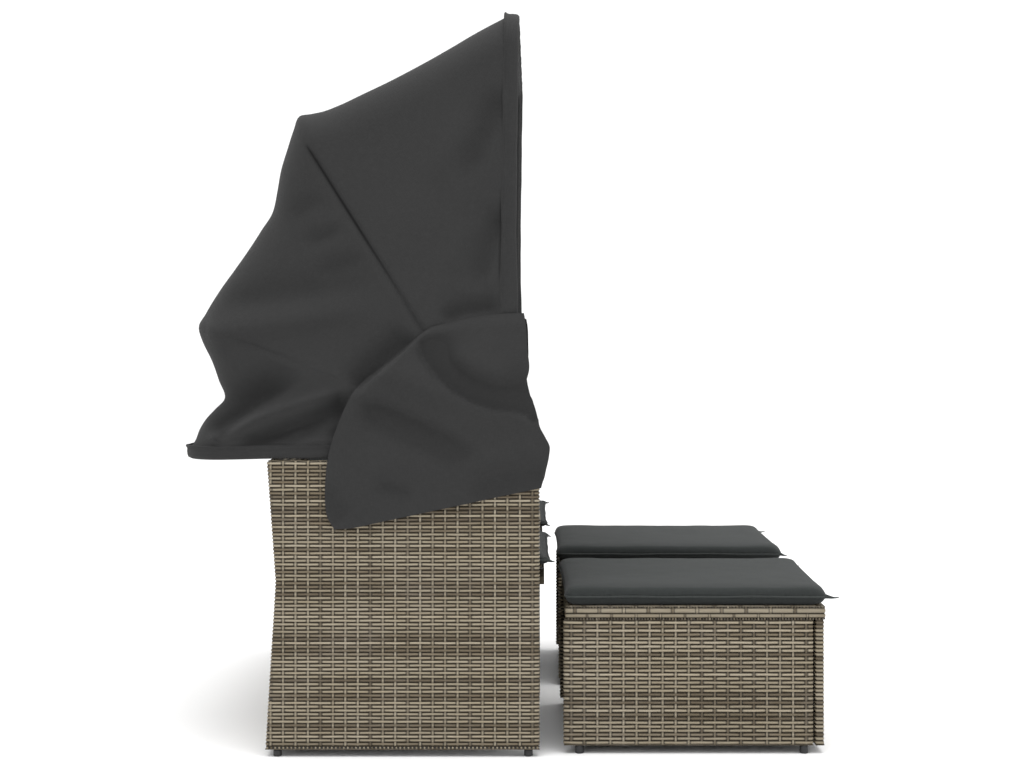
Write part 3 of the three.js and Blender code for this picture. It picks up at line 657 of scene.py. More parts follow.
w = Weave("console_top_wicker", 52)
tx1 = SX + 0.0185
place, turn = mapping((0, 0, 0.4659), (1, 0, 0), (0, 1, 0), (0, 0, 1))
plain_weave(w, place, turn, lambda b: cx0, lambda b: tx1, -0.1035, 0.1035, 0.0082, 0.0275, 0.0057, 0.0015, 0.00055, start=SX)
for A, B0, N, a0, a1 in (((1, 0, 0), (0, -0.1030, 0), (0, -1, 0), cx0, tx1 - 0.001), ((1, 0, 0), (0, 0.1030, 0), (0, 1, 0), cx0, tx1 - 0.001),
                         ((0, 1, 0), (tx1 - 0.0008, 0, 0), (1, 0, 0), -0.1025, 0.1025)):
    place, turn = mapping(B0, A, (0, 0, 1), N)
    for r, z in enumerate((0.4541, 0.4622)):
        aa = np.arange(a0, a1, 0.0275 / 3)
        w.strand(place(aa, np.full(len(aa), z), 0.0004 * over_under(math.pi * (aa / 0.0275 + r))), turn(0 * aa, 0 * aa, 0 * aa + 1), 0.0068, 0.0012, w.tint(0.2))
w.build("sofa", "console_top", shade_boards=[([(cx0 + 0.001, -0.1022, 0.4505), (tx1 - 0.0018, -0.1022, 0.4505), (tx1 - 0.0018, 0.1022, 0.4505), (cx0 + 0.001, 0.1022, 0.4505)], (0, 0, 0.0142))])

# footstools
for side, s in SIDES:
    body = f"footstool_{side}"
    seed = 61 + int(s) * 5
    for part, y0, y1 in (("outer", 0.593, 0.613), ("inner", 0.108, 0.128)):
        w = Weave(f"footstool_{side}_wicker_{part}", seed + (part == "inner"))
        place, turn = mapping((0, s * (y0 + y1) / 2, 0), (1, 0, 0), (0, 0, 1), (0, s, 0))
        plain_weave(w, place, turn, lambda b: SX + 0.067, lambda b: SX + 0.6245, 0.0199, 0.2956, 0.0089, 0.029, 0.0062, 0.0018, 0.0006, half=0.0088,
                    start=SX + 0.0851, top=False, dark=0.12 if part == "outer" else 0.42,
                    dark_rows=(0.2829, 0.2651, 0.2198, 0.1930, 0.130, 0.112, 0.0856, 0.0767, 0.0465) if part == "outer" else ())
        binding(w, place, turn, SX + 0.0685, SX + 0.6230, 0.0180, 0.0088, 0.0030)
        yc = s * (y0 + y1) / 2 - s * 0.0070
        outline = [(SX + 0.0700, yc, 0.0180), (SX + 0.6215, yc, 0.0180), (SX + 0.6215, yc, 0.2995), (SX + 0.0700, yc, 0.2995)]
        w.build(body, f"footstool_{side}_panel_{part}", shade_boards=[(outline, (0, s * 0.0140, 0))])
    w = Weave(f"footstool_{side}_wicker_front", seed + 2)
    place, turn = mapping((SX + 0.6380, s * 0.3605, 0), (0, 1, 0), (0, 0, 1), (1, 0, 0))
    plain_weave(w, place, turn, lambda b: -0.2525, lambda b: 0.2525, 0.0199, 0.2956, 0.0089, 0.029, 0.0062, 0.0018, 0.0006, half=0.0093, start=0.0, rc=0.0032, dark=0.3)
    binding(w, place, turn, -0.2505, 0.2505, 0.0180, 0.0093, 0.0030)
    xc = SX + 0.6380 - 0.0075
    outline = [(xc, s * 0.3605 - 0.2508, 0.0180), (xc, s * 0.3605 + 0.2508, 0.0180), (xc, s * 0.3605 + 0.2508, 0.2995), (xc, s * 0.3605 - 0.2508, 0.2995)]
    w.build(body, f"footstool_{side}_panel_front", shade_boards=[(outline, (0.0150, 0, 0))])

    # lid: woven top, and two wide rows round its edge
    w = Weave(f"footstool_{side}_wicker_lid", seed + 3)
    lx0, lx1, ly0, ly1 = SX + 0.0715, SX + 0.651, 0.1075, 0.6135
    place, turn = mapping((0, s * 0.3605, 0.3269), (1, 0, 0), (0, 1, 0), (0, 0, 1))
    hw = (ly1 - ly0) / 2
    plain_weave(w, place, turn, lambda b: lx0, lambda b: lx1, -hw + 0.001, hw - 0.001, 0.0089, 0.029, 0.0068, 0.0013, 0.00055, start=SX + 0.0843)
    r0 = 0.004
    ya, yb = min(s * ly0, s * ly1) + 0.001, max(s * ly0, s * ly1) - 0.001
    xa, xb = lx0 + 0.001, lx1 - 0.001
    corners = [((xa + r0, ya + r0), 180, 270), ((xb - r0, ya + r0), 270, 360), ((xb - r0, yb - r0), 0, 90), ((xa + r0, yb - r0), 90, 180)]
    for row, (z, wide, post) in enumerate(((0.3177, 0.0114, 0.0062), (0.3064, 0.0086, 0.0036))):
        pts, nrm, light, sink = [], [], [], []
        for c, ((px, py), g0, g1) in enumerate(corners):
            for g in np.radians(np.linspace(g0, g1, 5)):
                pts.append((px + r0 * math.cos(g), py + r0 * math.sin(g)))
                nrm.append((math.cos(g), math.sin(g)))
                light.append(0.9)
                sink.append(0.0)
            nx, ny = corners[(c + 1) % 4][0]
            g = math.radians(g1)
            out = (math.cos(g), math.sin(g))
            ex, ey = px + r0 * out[0], py + r0 * out[1]
            length = math.hypot(nx - px, ny - py)
            dx, dy = (nx - px) / length, (ny - py) / length
            for u in np.arange(0.0165 + 0.0272 * row, length - 0.010, 0.0544):
                for d, o, l in ((-post / 2 - 0.0026, 0.0, 1.0), (-post / 2 - 0.0006, 0.0010, 0.3), (0.0, 0.0018, 0.14), (post / 2 + 0.0006, 0.0010, 0.3), (post / 2 + 0.0026, 0.0, 1.0)):
                    pts.append((ex + dx * (u + d), ey + dy * (u + d)))
                    nrm.append(out)
                    light.append(l)
                    sink.append(o)
                cx, cy = ex + dx * u, ey + dy * u
                p = np.array([(cx - out[0] * 0.0010, cy - out[1] * 0.0010, z - wide * 0.52), (cx + out[0] * 0.0003, cy + out[1] * 0.0003, z), (cx - out[0] * 0.0010, cy - out[1] * 0.0010, z + wide * 0.52)])
                w.strand(p, np.tile((*out, 0), (3, 1)), post, 0.0014, w.tint(0.55), profile=FLAT, shade=(0.5, 1.0, 0.5))
            # short ends of the lid's own strands, turned over its top edge and under its bottom edge
            for zt, zb, dark in ((0.3268, 0.3236, 0.85), (0.3022, 0.2968, 0.9)):
                if row:
                    continue
                for u in np.arange(0.003, length - 0.002, 0.0068):
                    v = u + w.rng.uniform(-0.0008, 0.0008)
                    cx, cy = ex + dx * v, ey + dy * v
                    p = np.array([(cx - out[0] * 0.0008, cy - out[1] * 0.0008, zt), (cx, cy, (zt + zb) / 2), (cx - out[0] * 0.0008, cy - out[1] * 0.0008, zb)])
                    w.strand(p, np.tile((*out, 0), (3, 1)), w.rng.uniform(0.0034, 0.0050), 0.0013, w.tint(dark) * w.rng.uniform(0.2, 0.75), profile=FLAT)
        pts, nrm, sink = np.array(pts), np.array(nrm), np.array(sink)
        q = pts - nrm * sink[:, None]
        w.strand(np.column_stack([q, np.full(len(q), z)]), np.column_stack([nrm, np.zeros(len(q))]), wide, 0.0024, w.tint(0.0) * 0.84, closed=True, shade=light)
    inset = 0.0028
    ya, yb = s * (ly0 + inset), s * (ly1 - inset)
    w.build(body, f"footstool_{side}_lid", shade_boards=[([(lx0 + inset, ya, 0.3018), (lx1 - inset, ya, 0.3018), (lx1 - inset, yb, 0.3018), (lx0 + inset, yb, 0.3018)], (0, 0, 0.0238))])


# ------------------------------------------------------------------ canopy cloth
HUB = np.array([-0.060, 0.678])                     # fan centre in the side view (x, z)
HOOP = {4: (math.radians(-0.65), 0.706), 3: (math.radians(21.1), 0.732), 2: (math.radians(57.8), 0.868), 1: (math.radians(90.8), 0.965)}
E_SIDE = 0.6415                                     # outside of the side cloth
R_IN = 0.155                                        # the cloth starts clear of the stacked hoop ends
ROOF = np.array([(-4, .716), (-0.6, .7125), (1.4, .6985), (3.2, .6915), (5.2, .6795), (7.3, .6615), (9.5, .6440), (13.1, .6655), (16.5, .6930),
                 (19.2, .7240), (21.1, .7415), (24.0, .7395), (28.8, .7345), (33.1, .7303), (37.4, .7306), (41.5, .7366), (45.5, .7480),
                 (48.3, .7740), (50.9, .8035), (53.6, .8310), (56.1, .8590), (57.8, .8775), (59.5, .8690), (61.2, .8610), (63.8, .8565), (67.8, .8580),
                 (71.9, .8640), (75.7, .8755), (79.2, .8910), (82.4, .9100), (85.4, .9320), (88.5, .9560), (90.8, .9745), (96, .99)])


def ray(angle):
    return np.stack([-np.cos(angle), np.sin(angle)], -1)


def smooth_line(x, table):
    """Through the table's points, without a corner at each."""
    xs, ys = table[:, 0], table[:, 1]
    slope = np.gradient(ys, xs)
    x = np.clip(x, xs[0], xs[-1])
    i = np.clip(np.searchsorted(xs, x) - 1, 0, len(xs) - 2)
    h = xs[i + 1] - xs[i]
    t = (x - xs[i]) / h
    return ((1 + 2 * t) * (1 - t) ** 2 * ys[i] + t * (1 - t) ** 2 * h * slope[i] + t * t * (3 - 2 * t) * ys[i + 1] + t * t * (t - 1) * h * slope[i + 1])


def side_xz(u, v):
    """Side view place (x, z) of a point that the picture frame shows at (u, v) on the side cloth."""
    return (u - 533.0) / 453.5, (757.0 - v) / 453.5


def fold_field(x, z, folds):
    """Sum of soft folds, each along a line: (points, height in mm, reach above it in mm, reach below it, share faded at its two ends)."""
    total = np.zeros_like(x)
    for pts, height, above, below, fade0, fade1 in folds:
        p = np.array([side_xz(*q) for q in pts])
        seg = np.diff(p, axis=0)
        length = np.linalg.norm(seg, axis=1)
        run = np.concatenate(([0.0], np.cumsum(length)))
        best = np.full(x.shape, 1e9)
        along = np.zeros_like(x)
        up = np.ones_like(x)
        for i in range(len(seg)):
            t = np.clip(((x - p[i, 0]) * seg[i, 0] + (z - p[i, 1]) * seg[i, 1]) / length[i] ** 2, 0, 1)
            dx, dz = x - p[i, 0] - t * seg[i, 0], z - p[i, 1] - t * seg[i, 1]
            d = np.hypot(dx, dz)
            near = d < best
            best = np.where(near, d, best)
            along = np.where(near, (run[i] + t * length[i]) / run[-1], along)
            up = np.where(near, np.sign(seg[i, 0] * dz - seg[i, 1] * dx), up)
        reach = np.where(up > 0, above, below) / 1000.0
        share = smoothstep(along / fade0) * smoothstep((1 - along) / fade1)
        total += height / 1000.0 * share * np.exp(-(best / reach) ** 2)
    return total


# folds of the side cloth, as (line in the picture frame, height mm, reach above, reach below, fades)
GORE_FOLDS = [
    ([(214, 440), (226, 428), (242, 413), (260, 400), (282, 387), (306, 374)], -38, 48, 17, 0.10, 0.40),
    ([(204, 443), (228, 431), (256, 419), (285, 408), (318, 398), (352, 390)], 23, 12, 19, 0.10, 0.30),
    ([(232, 452), (260, 444), (292, 430), (320, 417), (352, 400)], -24, 28, 24, 0.22, 0.10),
    ([(262, 449), (285, 438), (310, 426)], 7, 8, 9, 0.3, 0.3),
    ([(292, 447), (315, 443), (345, 447)], 12, 14, 14, 0.3, 0.2),
    ([(202, 331), (230, 331), (270, 324), (330, 314), (390, 306)], 14, 38, 26, 0.04, 0.5),
    ([(215, 306), (260, 298), (310, 292), (355, 280), (385, 268)], -11, 38, 30, 0.15, 0.3),
    ([(285, 225), (305, 208), (330, 196)], -8, 22, 18, 0.4, 0.4),
    ([(300, 248), (322, 236), (345, 225)], -9, 20, 15, 0.4, 0.4),
    ([(312, 236), (326, 226), (350, 212)], 4, 14, 12, 0.4, 0.4),
    ([(310, 274), (335, 267), (372, 256)], -9, 22, 16, 0.4, 0.4),
    ([(458, 190), (474, 160), (490, 126), (503, 84)], -14, 34, 18, 0.35, 0.25),
    ([(430, 190), (450, 150), (470, 105)], 6, 30, 30, 0.35, 0.35),
    ([(474, 296), (486, 262), (498, 226), (503, 200)], -14, 30, 14, 0.3, 0.25),
    ([(445, 280), (458, 245), (470, 215)], 5, 26, 26, 0.35, 0.35),
    ([(436, 321), (465, 312), (506, 307)], -15, 26, 10, 0.25, 0.25),
    ([(352, 394), (366, 380), (384, 362), (404, 343), (414, 332)], -17, 38, 16, 0.16, 0.2),
    ([(330, 448), (342, 428), (352, 402)], -9, 26, 14, 0.3, 0.3),
]
HOOP_PUSH = {4: 0.008, 3: 0.0145, 2: -0.0148, 1: -0.012}       # how far the seam lies from the hoop's own line, towards the front


def leg_clearance(x, z):
    """Least |y| of the outside of the side cloth over the hoop legs."""
    least = np.zeros_like(x)
    for angle, _ in HOOP.values():
        d = (x - HUB[0]) * math.sin(angle) + (z - HUB[1]) * math.cos(angle)
        least = np.maximum(least, np.where(np.abs(d) < 0.0102, 0.6285 + np.sqrt(np.clip(0.0102 ** 2 - d ** 2, 0, None)), 0))
    return least


def roof_least(angle, r, off):
    """Least radius of the outside of the roof cloth over the crossbars."""
    least = np.zeros_like(r)
    for a, radius in HOOP.values():
        d = r * np.sin(angle - a) + off * np.cos(angle - a)
        least = np.maximum(least, np.where(np.abs(d) < 0.0100, radius + np.sqrt(np.clip(0.0100 ** 2 - d ** 2, 0, None)), 0))
    return least


def ripple(seed, x, z, size):
    """Smooth small unevenness, the same each run."""
    rng = np.random.default_rng(seed)
    total = np.zeros_like(x)
    for k in range(7):
        g, phase = rng.uniform(0, 2 * math.pi, 2)
        wave = 2 * math.pi / (size * rng.uniform(0.7, 1.6))
        total += np.sin((x * math.cos(g) + z * math.sin(g)) * wave + phase)
    return total / 7


def shade_points(me, values=None):
    """Darkening of the cloth at each point, where a seam or crease keeps the light out; 1 leaves it as it is."""
    count = len(me.vertices)
    k = np.ones(count) if values is None else np.asarray(values, float).ravel()
    attr = me.attributes.new("shade", "FLOAT_COLOR", "POINT")
    attr.data.foreach_set("color", np.stack([k, k, k, np.ones(count)], -1).astype(np.float32).ravel())


def add_sheet(name, grid, uv, edge, thick, mats, inner_slot=0, closed=False, shade=None):
    """A cloth with a real thickness, from a grid of points on its outside; closed joins the last column to the first."""
    m, n = grid.shape[:2]
    du = (np.roll(grid, -1, 1) - np.roll(grid, 1, 1)) if closed else np.gradient(grid, axis=1)
    dv = np.gradient(grid, axis=0)
    nrm = np.cross(du, dv)
    nrm /= np.linalg.norm(nrm, axis=2, keepdims=True) + 1e-12
    inner = grid - nrm * thick
    verts = np.concatenate([grid.reshape(-1, 3), inner.reshape(-1, 3)])
    idx = np.arange(m * n).reshape(m, n)
    a, b, c, d = idx[:-1, :-1], idx[:-1, 1:], idx[1:, 1:], idx[1:, :-1]
    outer = np.stack([a, b, c, d], -1).reshape(-1, 4)
    under = outer[:, ::-1] + m * n
    rim = np.concatenate([idx[0, :], idx[1:, -1], idx[-1, -2::-1], idx[-2:0:-1, 0]])
    nxt = np.roll(rim, -1)
    rims = np.stack([nxt, rim, rim + m * n, nxt + m * n], -1)
    faces = np.concatenate([outer, under, rims])
    ob = add_mesh(name, verts, faces.ravel(), np.full(len(faces), 4), mats)
    me = ob.data
    flat = np.concatenate([uv.reshape(-1, 2)] * 2)
    rimmed = np.concatenate([edge.reshape(-1, 2)] * 2)
    for title, data in (("cloth", flat), ("edge", rimmed)):
        layer = me.uv_layers.new(name=title)
        layer.data.foreach_set("uv", data[faces.ravel()].astype(np.float32).ravel())
    ends = np.empty(len(me.edges) * 2, np.int32)
    me.edges.foreach_get("vertices", ends)
    on_rim = np.zeros(len(verts), np.int32)
    on_rim[rim] = 1
    on_rim[rim + m * n] = 2
    ends = on_rim[ends.reshape(-1, 2)]
    sharp = me.attributes.new("sharp_edge", "BOOLEAN", "EDGE")
    sharp.data.foreach_set("value", (ends[:, 0] == ends[:, 1]) & (ends[:, 0] > 0))
    if inner_slot:
        which = np.zeros(len(faces), np.int32)
        which[len(outer):len(outer) + len(under)] = inner_slot
        me.polygons.foreach_set("material_index", which)
    shade_points(me, None if shade is None else np.concatenate([shade.ravel()] * 2))
    me.update()
    return ob


def grid_uv(grid):
    """Metres along the columns and the rows, and the distance to the nearer first or last row."""
    across = np.concatenate([np.zeros((grid.shape[0], 1)), np.cumsum(np.linalg.norm(np.diff(grid, axis=1), axis=2), axis=1)], 1)
    across -= across[:, -1:] / 2
    along = np.concatenate([np.zeros((1, grid.shape[1])), np.cumsum(np.linalg.norm(np.diff(grid, axis=0), axis=2), axis=0)], 0)
    uv = np.stack([across, along], -1)
    edge = np.stack([across, np.minimum(along, along[-1:] - along)], -1)
    return uv, edge


def gore(name, rear_hoop, front_hoop, node, rows, seed, edge_dips, sag):
    a0, a1 = HOOP[rear_hoop][0], HOOP[front_hoop][0]
    p0, p1 = HOOP_PUSH[rear_hoop], HOOP_PUSH[front_hoop]
    t = np.concatenate(([0.0, 0.006, 0.014], np.linspace(0.024, 0.976, rows), [0.986, 0.994, 1.0]))
    n_side, n_bend, n_top = 84, 15, 116
    T = t[:, None]
    angle = a0 + T * (a1 - a0)
    push = p0 + T * (p1 - p0)
    total_angle = angle + np.arctan2(push, 0.78)
    R = smooth_line(np.degrees(total_angle), ROOF)
    mid = np.sin(math.pi * t)[:, None]
    B = 0.080 + 0.006 * mid
    s_side = np.linspace(0, 1, n_side)[None, :]
    s_bend = np.linspace(0, math.pi / 2, n_bend + 2)[None, 1:-1]
    s_top = np.linspace(1, -1, n_top)[None, :]
    halves = []
    shades = []
    for side, s in SIDES:
        r = R_IN + (R - B - R_IN) * s_side
        rb = R - B + B * np.sin(s_bend)
        rr = np.concatenate([r, rb], 1)
        x = HUB[0] - np.cos(angle) * rr + push * np.sin(angle)
        z = HUB[1] + np.sin(angle) * rr + push * np.cos(angle)
        shift = (0.0, 0.0) if s < 0 else (0.012, -0.008)
        D = fold_field(x + shift[0], z + shift[1], GORE_FOLDS) * (1.0 if s < 0 else 0.88)
        hollow = 1 - np.exp(-np.clip(-D, 0, None) / 0.015)
        D += 0.0009 * ripple(seed + int(s), x, z, 0.16) + 0.0004 * ripple(seed + 20 + int(s), x, z, 0.06)
        D -= 0.004 * mid * smoothstep((rr - 0.2) / 0.3)
        if rear_hoop == 4:
            held = smoothstep(((angle - a0) * rr - 0.004) / 0.024)
            D = np.where(D > 0, D * held, D * (0.3 + 0.7 * held))
        if front_hoop == 1:
            held = smoothstep(((a1 - angle) * rr - 0.002) / 0.012)
            D = np.where(D > 0, D * held, D * (0.4 + 0.6 * held))
        for which, depth, width, r_lo, r_hi in edge_dips:
            d = (angle - a0) * rr if which == 0 else (a1 - angle) * rr
            D -= depth * np.exp(-(d / width) ** 2) * smoothstep((rr - r_lo) / 0.10) * smoothstep((r_hi - rr) / 0.05)
        turn_bend = np.concatenate([np.zeros((len(t), n_side)), np.broadcast_to(s_bend, (len(t), n_bend))], 1)
        y = E_SIDE - B * (1 - np.cos(turn_bend)) + D * np.cos(turn_bend) ** 2
        least = leg_clearance(x, z) - B * (1 - np.cos(turn_bend)) * 1.02
        y = np.where((least > 0.5) & (turn_bend < 1.2), np.maximum(y, least), y)
        halves.append(np.stack([x, s * y, z], -1))
        # painted shade: the cloth is darker in the hollows of its folds, along the stitched crease over the second hoop
        # and along the rear edge of the front hem
        k = 1 - 0.10 * hollow
        crease = smoothstep((rr - 0.40) / 0.20) * smoothstep((0.81 - rr) / 0.02)
        if rear_hoop == 2:
            k -= 0.72 * crease * np.exp(-((angle - a0) * rr / 0.0028) ** 2)
        if front_hoop == 2:
            k -= 0.72 * crease * np.exp(-((a1 - angle) * rr / 0.0028) ** 2)
        if front_hoop == 1:
            tight = smoothstep((z - 1.04) / 0.04) * smoothstep((1.27 - z) / 0.07) + 0.6 * smoothstep((z - 1.38) / 0.04) * smoothstep((1.50 - z) / 0.04)
            k -= 0.5 * tight * np.exp(-(((a1 - angle) * rr - 0.0066) / 0.0030) ** 2)
        shades.append(k)
    w = E_SIDE - B
    yt = -w * s_top[:, 1:-1]
    drop = sag * mid * (1 - (yt / w) ** 2) ** 1.0
    rt = R - drop + 0.0010 * ripple(seed + 5, yt, total_angle * 0.8 + 0 * yt, 0.30) * mid
    off = push + 0 * rt
    rt = np.maximum(rt, roof_least(angle + 0 * rt, rt, off))
    xt = HUB[0] - np.cos(angle) * rt + push * np.sin(angle)
    zt = HUB[1] + np.sin(angle) * rt + push * np.cos(angle)
    top = np.stack([xt, yt, zt], -1)
    grid = np.concatenate([halves[0], top, halves[1][:, ::-1]], 1)
    shade = np.concatenate([shades[0], np.ones(top.shape[:2]), shades[1][:, ::-1]], 1)
    grid[..., 0] += SX
    uv, edge = grid_uv(grid)
    ob = add_sheet(name, grid[:, ::-1], uv[:, ::-1], edge[:, ::-1], 0.0012, [M_CANOPY, M_CANOPY_IN], 1, shade=shade[:, ::-1])
    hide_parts(node)
    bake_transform(ob)
    return ob, grid


def cloth_size(grid):
    """Width, length and area of a cloth's own surface."""
    e0 = grid[1:, :-1] - grid[:-1, :-1]
    e1 = grid[:-1, 1:] - grid[:-1, :-1]
    area_ = float(np.linalg.norm(np.cross(e0, e1), axis=2).sum())
    width = float(np.linalg.norm(np.diff(grid, axis=1), axis=2).sum(1).max())
    length = float(np.linalg.norm(np.diff(grid, axis=0), axis=2).sum(0).max())
    return width, length, area_


rear_gore, g_rear = gore("canopy_gore_rear", 4, 3, "canopy_cloth_rear", 42, 71, [(1, 0.0035, 0.006, 0.46, 0.68)], 0.004)
middle_gore, g_mid = gore("canopy_gore_middle", 3, 2, "canopy_cloth_middle", 74, 72, [(0, 0.0035, 0.006, 0.46, 0.68), (1, 0.0075, 0.0095, 0.26, 0.81)], 0.014)
front_gore, g_front = gore("canopy_gore_front", 2, 1, "canopy_cloth_front", 80, 73, [(0, 0.0075, 0.0060, 0.26, 0.81)], 0.016)


def sleeve(name, hoop, section, path_angles, body, r_from, ends):
    """A sewn tube of cloth round a hoop: section(k) gives (forward, outward) offsets at path place k."""
    angle, radius = HOOP[hoop]
    bend = 0.070
    legs = np.linspace(r_from, radius - bend, 56)
    pts, nrm, kind = [], [], []
    for r in legs:
        pts.append((r, 0.6285))
        nrm.append((0.0, 1.0))
        kind.append(r)
    for g in np.linspace(0, math.pi / 2, 12)[1:-1]:
        pts.append((radius - bend + bend * math.sin(g), 0.6285 - bend + bend * math.cos(g)))
        nrm.append((math.sin(g), math.cos(g)))
        kind.append(10.0)
    for y in np.linspace(0.6285 - bend, 0, 34)[:-1]:
        pts.append((radius, y))
        nrm.append((1.0, 0.0))
        kind.append(20.0)
    pts += [(r, -y) for r, y in [(radius, 0.0)]] + [(r, -y) for r, y in pts[::-1]]
    nrm += [(1.0, 0.0)] + [(a, -b) for a, b in nrm[::-1]]
    kind += [20.0] + kind[::-1]
    u = np.array((-math.cos(angle), math.sin(angle)))
    f = np.array((math.sin(angle), math.cos(angle)))
    rings = []
    run = 0.0
    for i, ((r, y), (nr, ny), k) in enumerate(zip(pts, nrm, kind)):
        if i:
            run += math.hypot(r - pts[i - 1][0], y - pts[i - 1][1])
        s = section(r, y, k, run)
        along = HUB + u * (r + 0.0)
        ring = []
        for fo, out in s:
            q = along + f * fo + u * (nr * out)
            ring.append((q[0] + SX, y + ny * out, q[1]))
        rings.append(ring)
    grid = np.array(rings)
    m, n = grid.shape[:2]
    verts = grid.reshape(-1, 3)
    idx = np.arange(m * n).reshape(m, n)
    a, b, c, d = idx[:-1], np.roll(idx, -1, 1)[:-1], np.roll(idx, -1, 1)[1:], idx[1:]
    quads = np.stack([a, b, c, d], -1).reshape(-1, 4)
    faces = [*quads.ravel(), *idx[0][::-1], *idx[-1]]
    counts = np.concatenate([np.full(len(quads), 4), [n, n]])
    ob = add_mesh(name, verts, faces, counts, [M_CANOPY_IN])
    me = ob.data
    around = np.concatenate([np.zeros((m, 1)), np.cumsum(np.linalg.norm(np.diff(grid, axis=1), axis=2), axis=1)], 1)
    length = np.concatenate(([0.0], np.cumsum(np.linalg.norm(np.diff(grid[:, 0], axis=0), axis=1))))[:, None] + 0 * around
    uv = np.stack([length, around], -1).reshape(-1, 2)
    for title in ("cloth", "edge"):
        layer = me.uv_layers.new(name=title)
        layer.data.foreach_set("uv", uv[np.array(faces)].astype(np.float32).ravel())
    bm = bmesh.new()
    bm.from_mesh(me)
    bmesh.ops.recalc_face_normals(bm, faces=bm.faces)
    bm.to_mesh(me)
    bm.free()
    shade_points(me)
    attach(ob, body)
    return ob, grid


def front_section(r, y, kind, run):
    """Flat hem with the tube in it: a hard edge in front, a sewn edge behind."""
    wob = 0.0007 * math.sin(run * 31.0) + 0.0005 * math.sin(run * 73.0 + 1.3)
    rear_ = 0.0172 + wob
    front_ = 0.0160 + 0.5 * wob
    low = max(0.0, 1.0 - (r - 0.30) / 0.30)
    front_ += 0.007 * low * low
    puff = 0.0108 + 0.0006 * math.sin(run * 23.0)
    side = 0.0142 if kind < 15 else 0.0098
    side -= 0.0035 * smoothstep((0.312 - r) / 0.010)
    return [(-rear_, side - 0.0012), (-rear_ + 0.0022, side + 0.0004), (-0.0105, 0.0118 + 0.0006 * math.sin(run * 40)), (-0.0055, puff), (0.0, puff + 0.0004), (0.0055, puff),
            (0.0110, 0.0096), (front_ - 0.0022, 0.0075), (front_, 0.0050), (front_ - 0.0008, 0.0022), (front_ - 0.005, 0.0002), (0.0098, -0.0050), (0.0060, -0.0089),
            (0.0, -0.0098), (-0.0060, -0.0086), (-0.0104, -0.0035), (-0.0130, 0.0050), (-rear_, side - 0.0036)]


def rear_section(r, y, kind, run):
    wob = 0.0006 * math.sin(run * 27.0 + 0.6)
    side = 0.0150 if kind < 15 else 0.0105
    return [(0.0150 + wob, side - 0.0016), (0.0128, side + 0.0002), (0.0070, 0.0120), (0.0, 0.0126), (-0.0070, 0.0118), (-0.0122, 0.0096), (-0.0158 + wob, 0.0034),
            (-0.0146, -0.0030), (-0.0085, -0.0080), (0.0, -0.0098), (0.0070, -0.0075), (0.0105, -0.0015), (0.0128, 0.0060), (0.0150 + wob, side - 0.0040)]


front_hem, g_hem1 = sleeve("canopy_hem_front", 1, front_section, None, "hoop_1", 0.272, None)
rear_hem, g_hem4 = sleeve("canopy_hem_rear", 4, rear_section, None, "sofa", 0.20, None)

for ob, g, pieces in ((rear_gore, g_rear, [rear_hem]), (middle_gore, g_mid, []), (front_gore, g_front, [front_hem])):
    width, length, cut = cloth_size(g)
    print("cloth", ob.name, round(width, 3), round(length, 3), round(cut, 3))

# loose side flaps over the arms
FLAP = dict(
    top=[(-20, 979), (-75, 977), (-130, 970), (-180, 959), (-227, 948)],
    left=[(-227, 948), (-250, 931), (-273, 911), (-310, 880), (-348, 849), (-375, 828), (-392, 809), (-413, 770), (-430, 730), (-444, 690), (-452, 655), (-457, 605), (-458, 560), (-452, 528), (-437, 503)],
    bottom=[(18, 593), (-60, 577), (-160, 556), (-260, 535), (-340, 518), (-404, 505), (-437, 503)],
    right=[(-20, 979), (-17, 964), (-13, 905), (-9, 850), (-13, 835), (-15, 826), (-14, 817), (-11, 808), (-7, 799), (-2, 790), (1, 781), (4, 772), (7, 762), (11, 746), (15, 729), (27, 706), (37, 684), (36, 668), (28, 630), (18, 593)],
)
FLAP_LEFT = dict(FLAP, bottom=[(0, 594), (-70, 577), (-160, 556), (-260, 535), (-340, 518), (-404, 505), (-437, 503)],
                 right=[(-20, 979), (-17, 964), (-14, 905), (-14, 860), (-20, 823), (-17, 790), (-7, 746), (-1, 720), (5, 690), (6, 668), (4, 630), (0, 594)])
FLAP_FOLDS = [
    ([(420, 334), (428, 356), (441, 376), (456, 389), (474, 398), (495, 405), (515, 406.5), (528, 411), (538, 420)], -38, 50, 10, 0.14, 0.02),
    ([(440, 346), (462, 362), (488, 374), (516, 380)], 8, 30, 20, 0.3, 0.3),
    ([(354, 402), (385, 412), (420, 429), (455, 448), (484, 462)], -26.0, 17, 36, 0.18, 0.35),
    ([(372, 384), (396, 374), (425, 388), (450, 408)], 10.0, 34, 28, 0.3, 0.3),
    ([(372, 480), (392, 488), (418, 497)], -8.0, 12, 22, 0.35, 0.35),
    ([(322, 486), (330, 505), (344, 524)], -8.0, 26, 22, 0.3, 0.2),
    ([(466, 502), (505, 488), (546, 480)], -14.0, 28, 22, 0.3, 0.1),
    ([(456, 470), (500, 460), (548, 448)], 8.0, 34, 24, 0.35, 0.2),
    ([(345, 470), (400, 462), (450, 470)], 6.0, 44, 34, 0.35, 0.35),
]


def even(points, count, power=1.0):
    p = np.array(points, float) / 1000.0
    run = np.concatenate(([0.0], np.cumsum(np.linalg.norm(np.diff(p, axis=0), axis=1))))
    t = np.linspace(0, 1, count)
    table_x = np.column_stack([run / run[-1], p[:, 0]])
    table_z = np.column_stack([run / run[-1], p[:, 1]])
    return np.column_stack([smooth_line(t, table_x), smooth_line(t, table_z)])


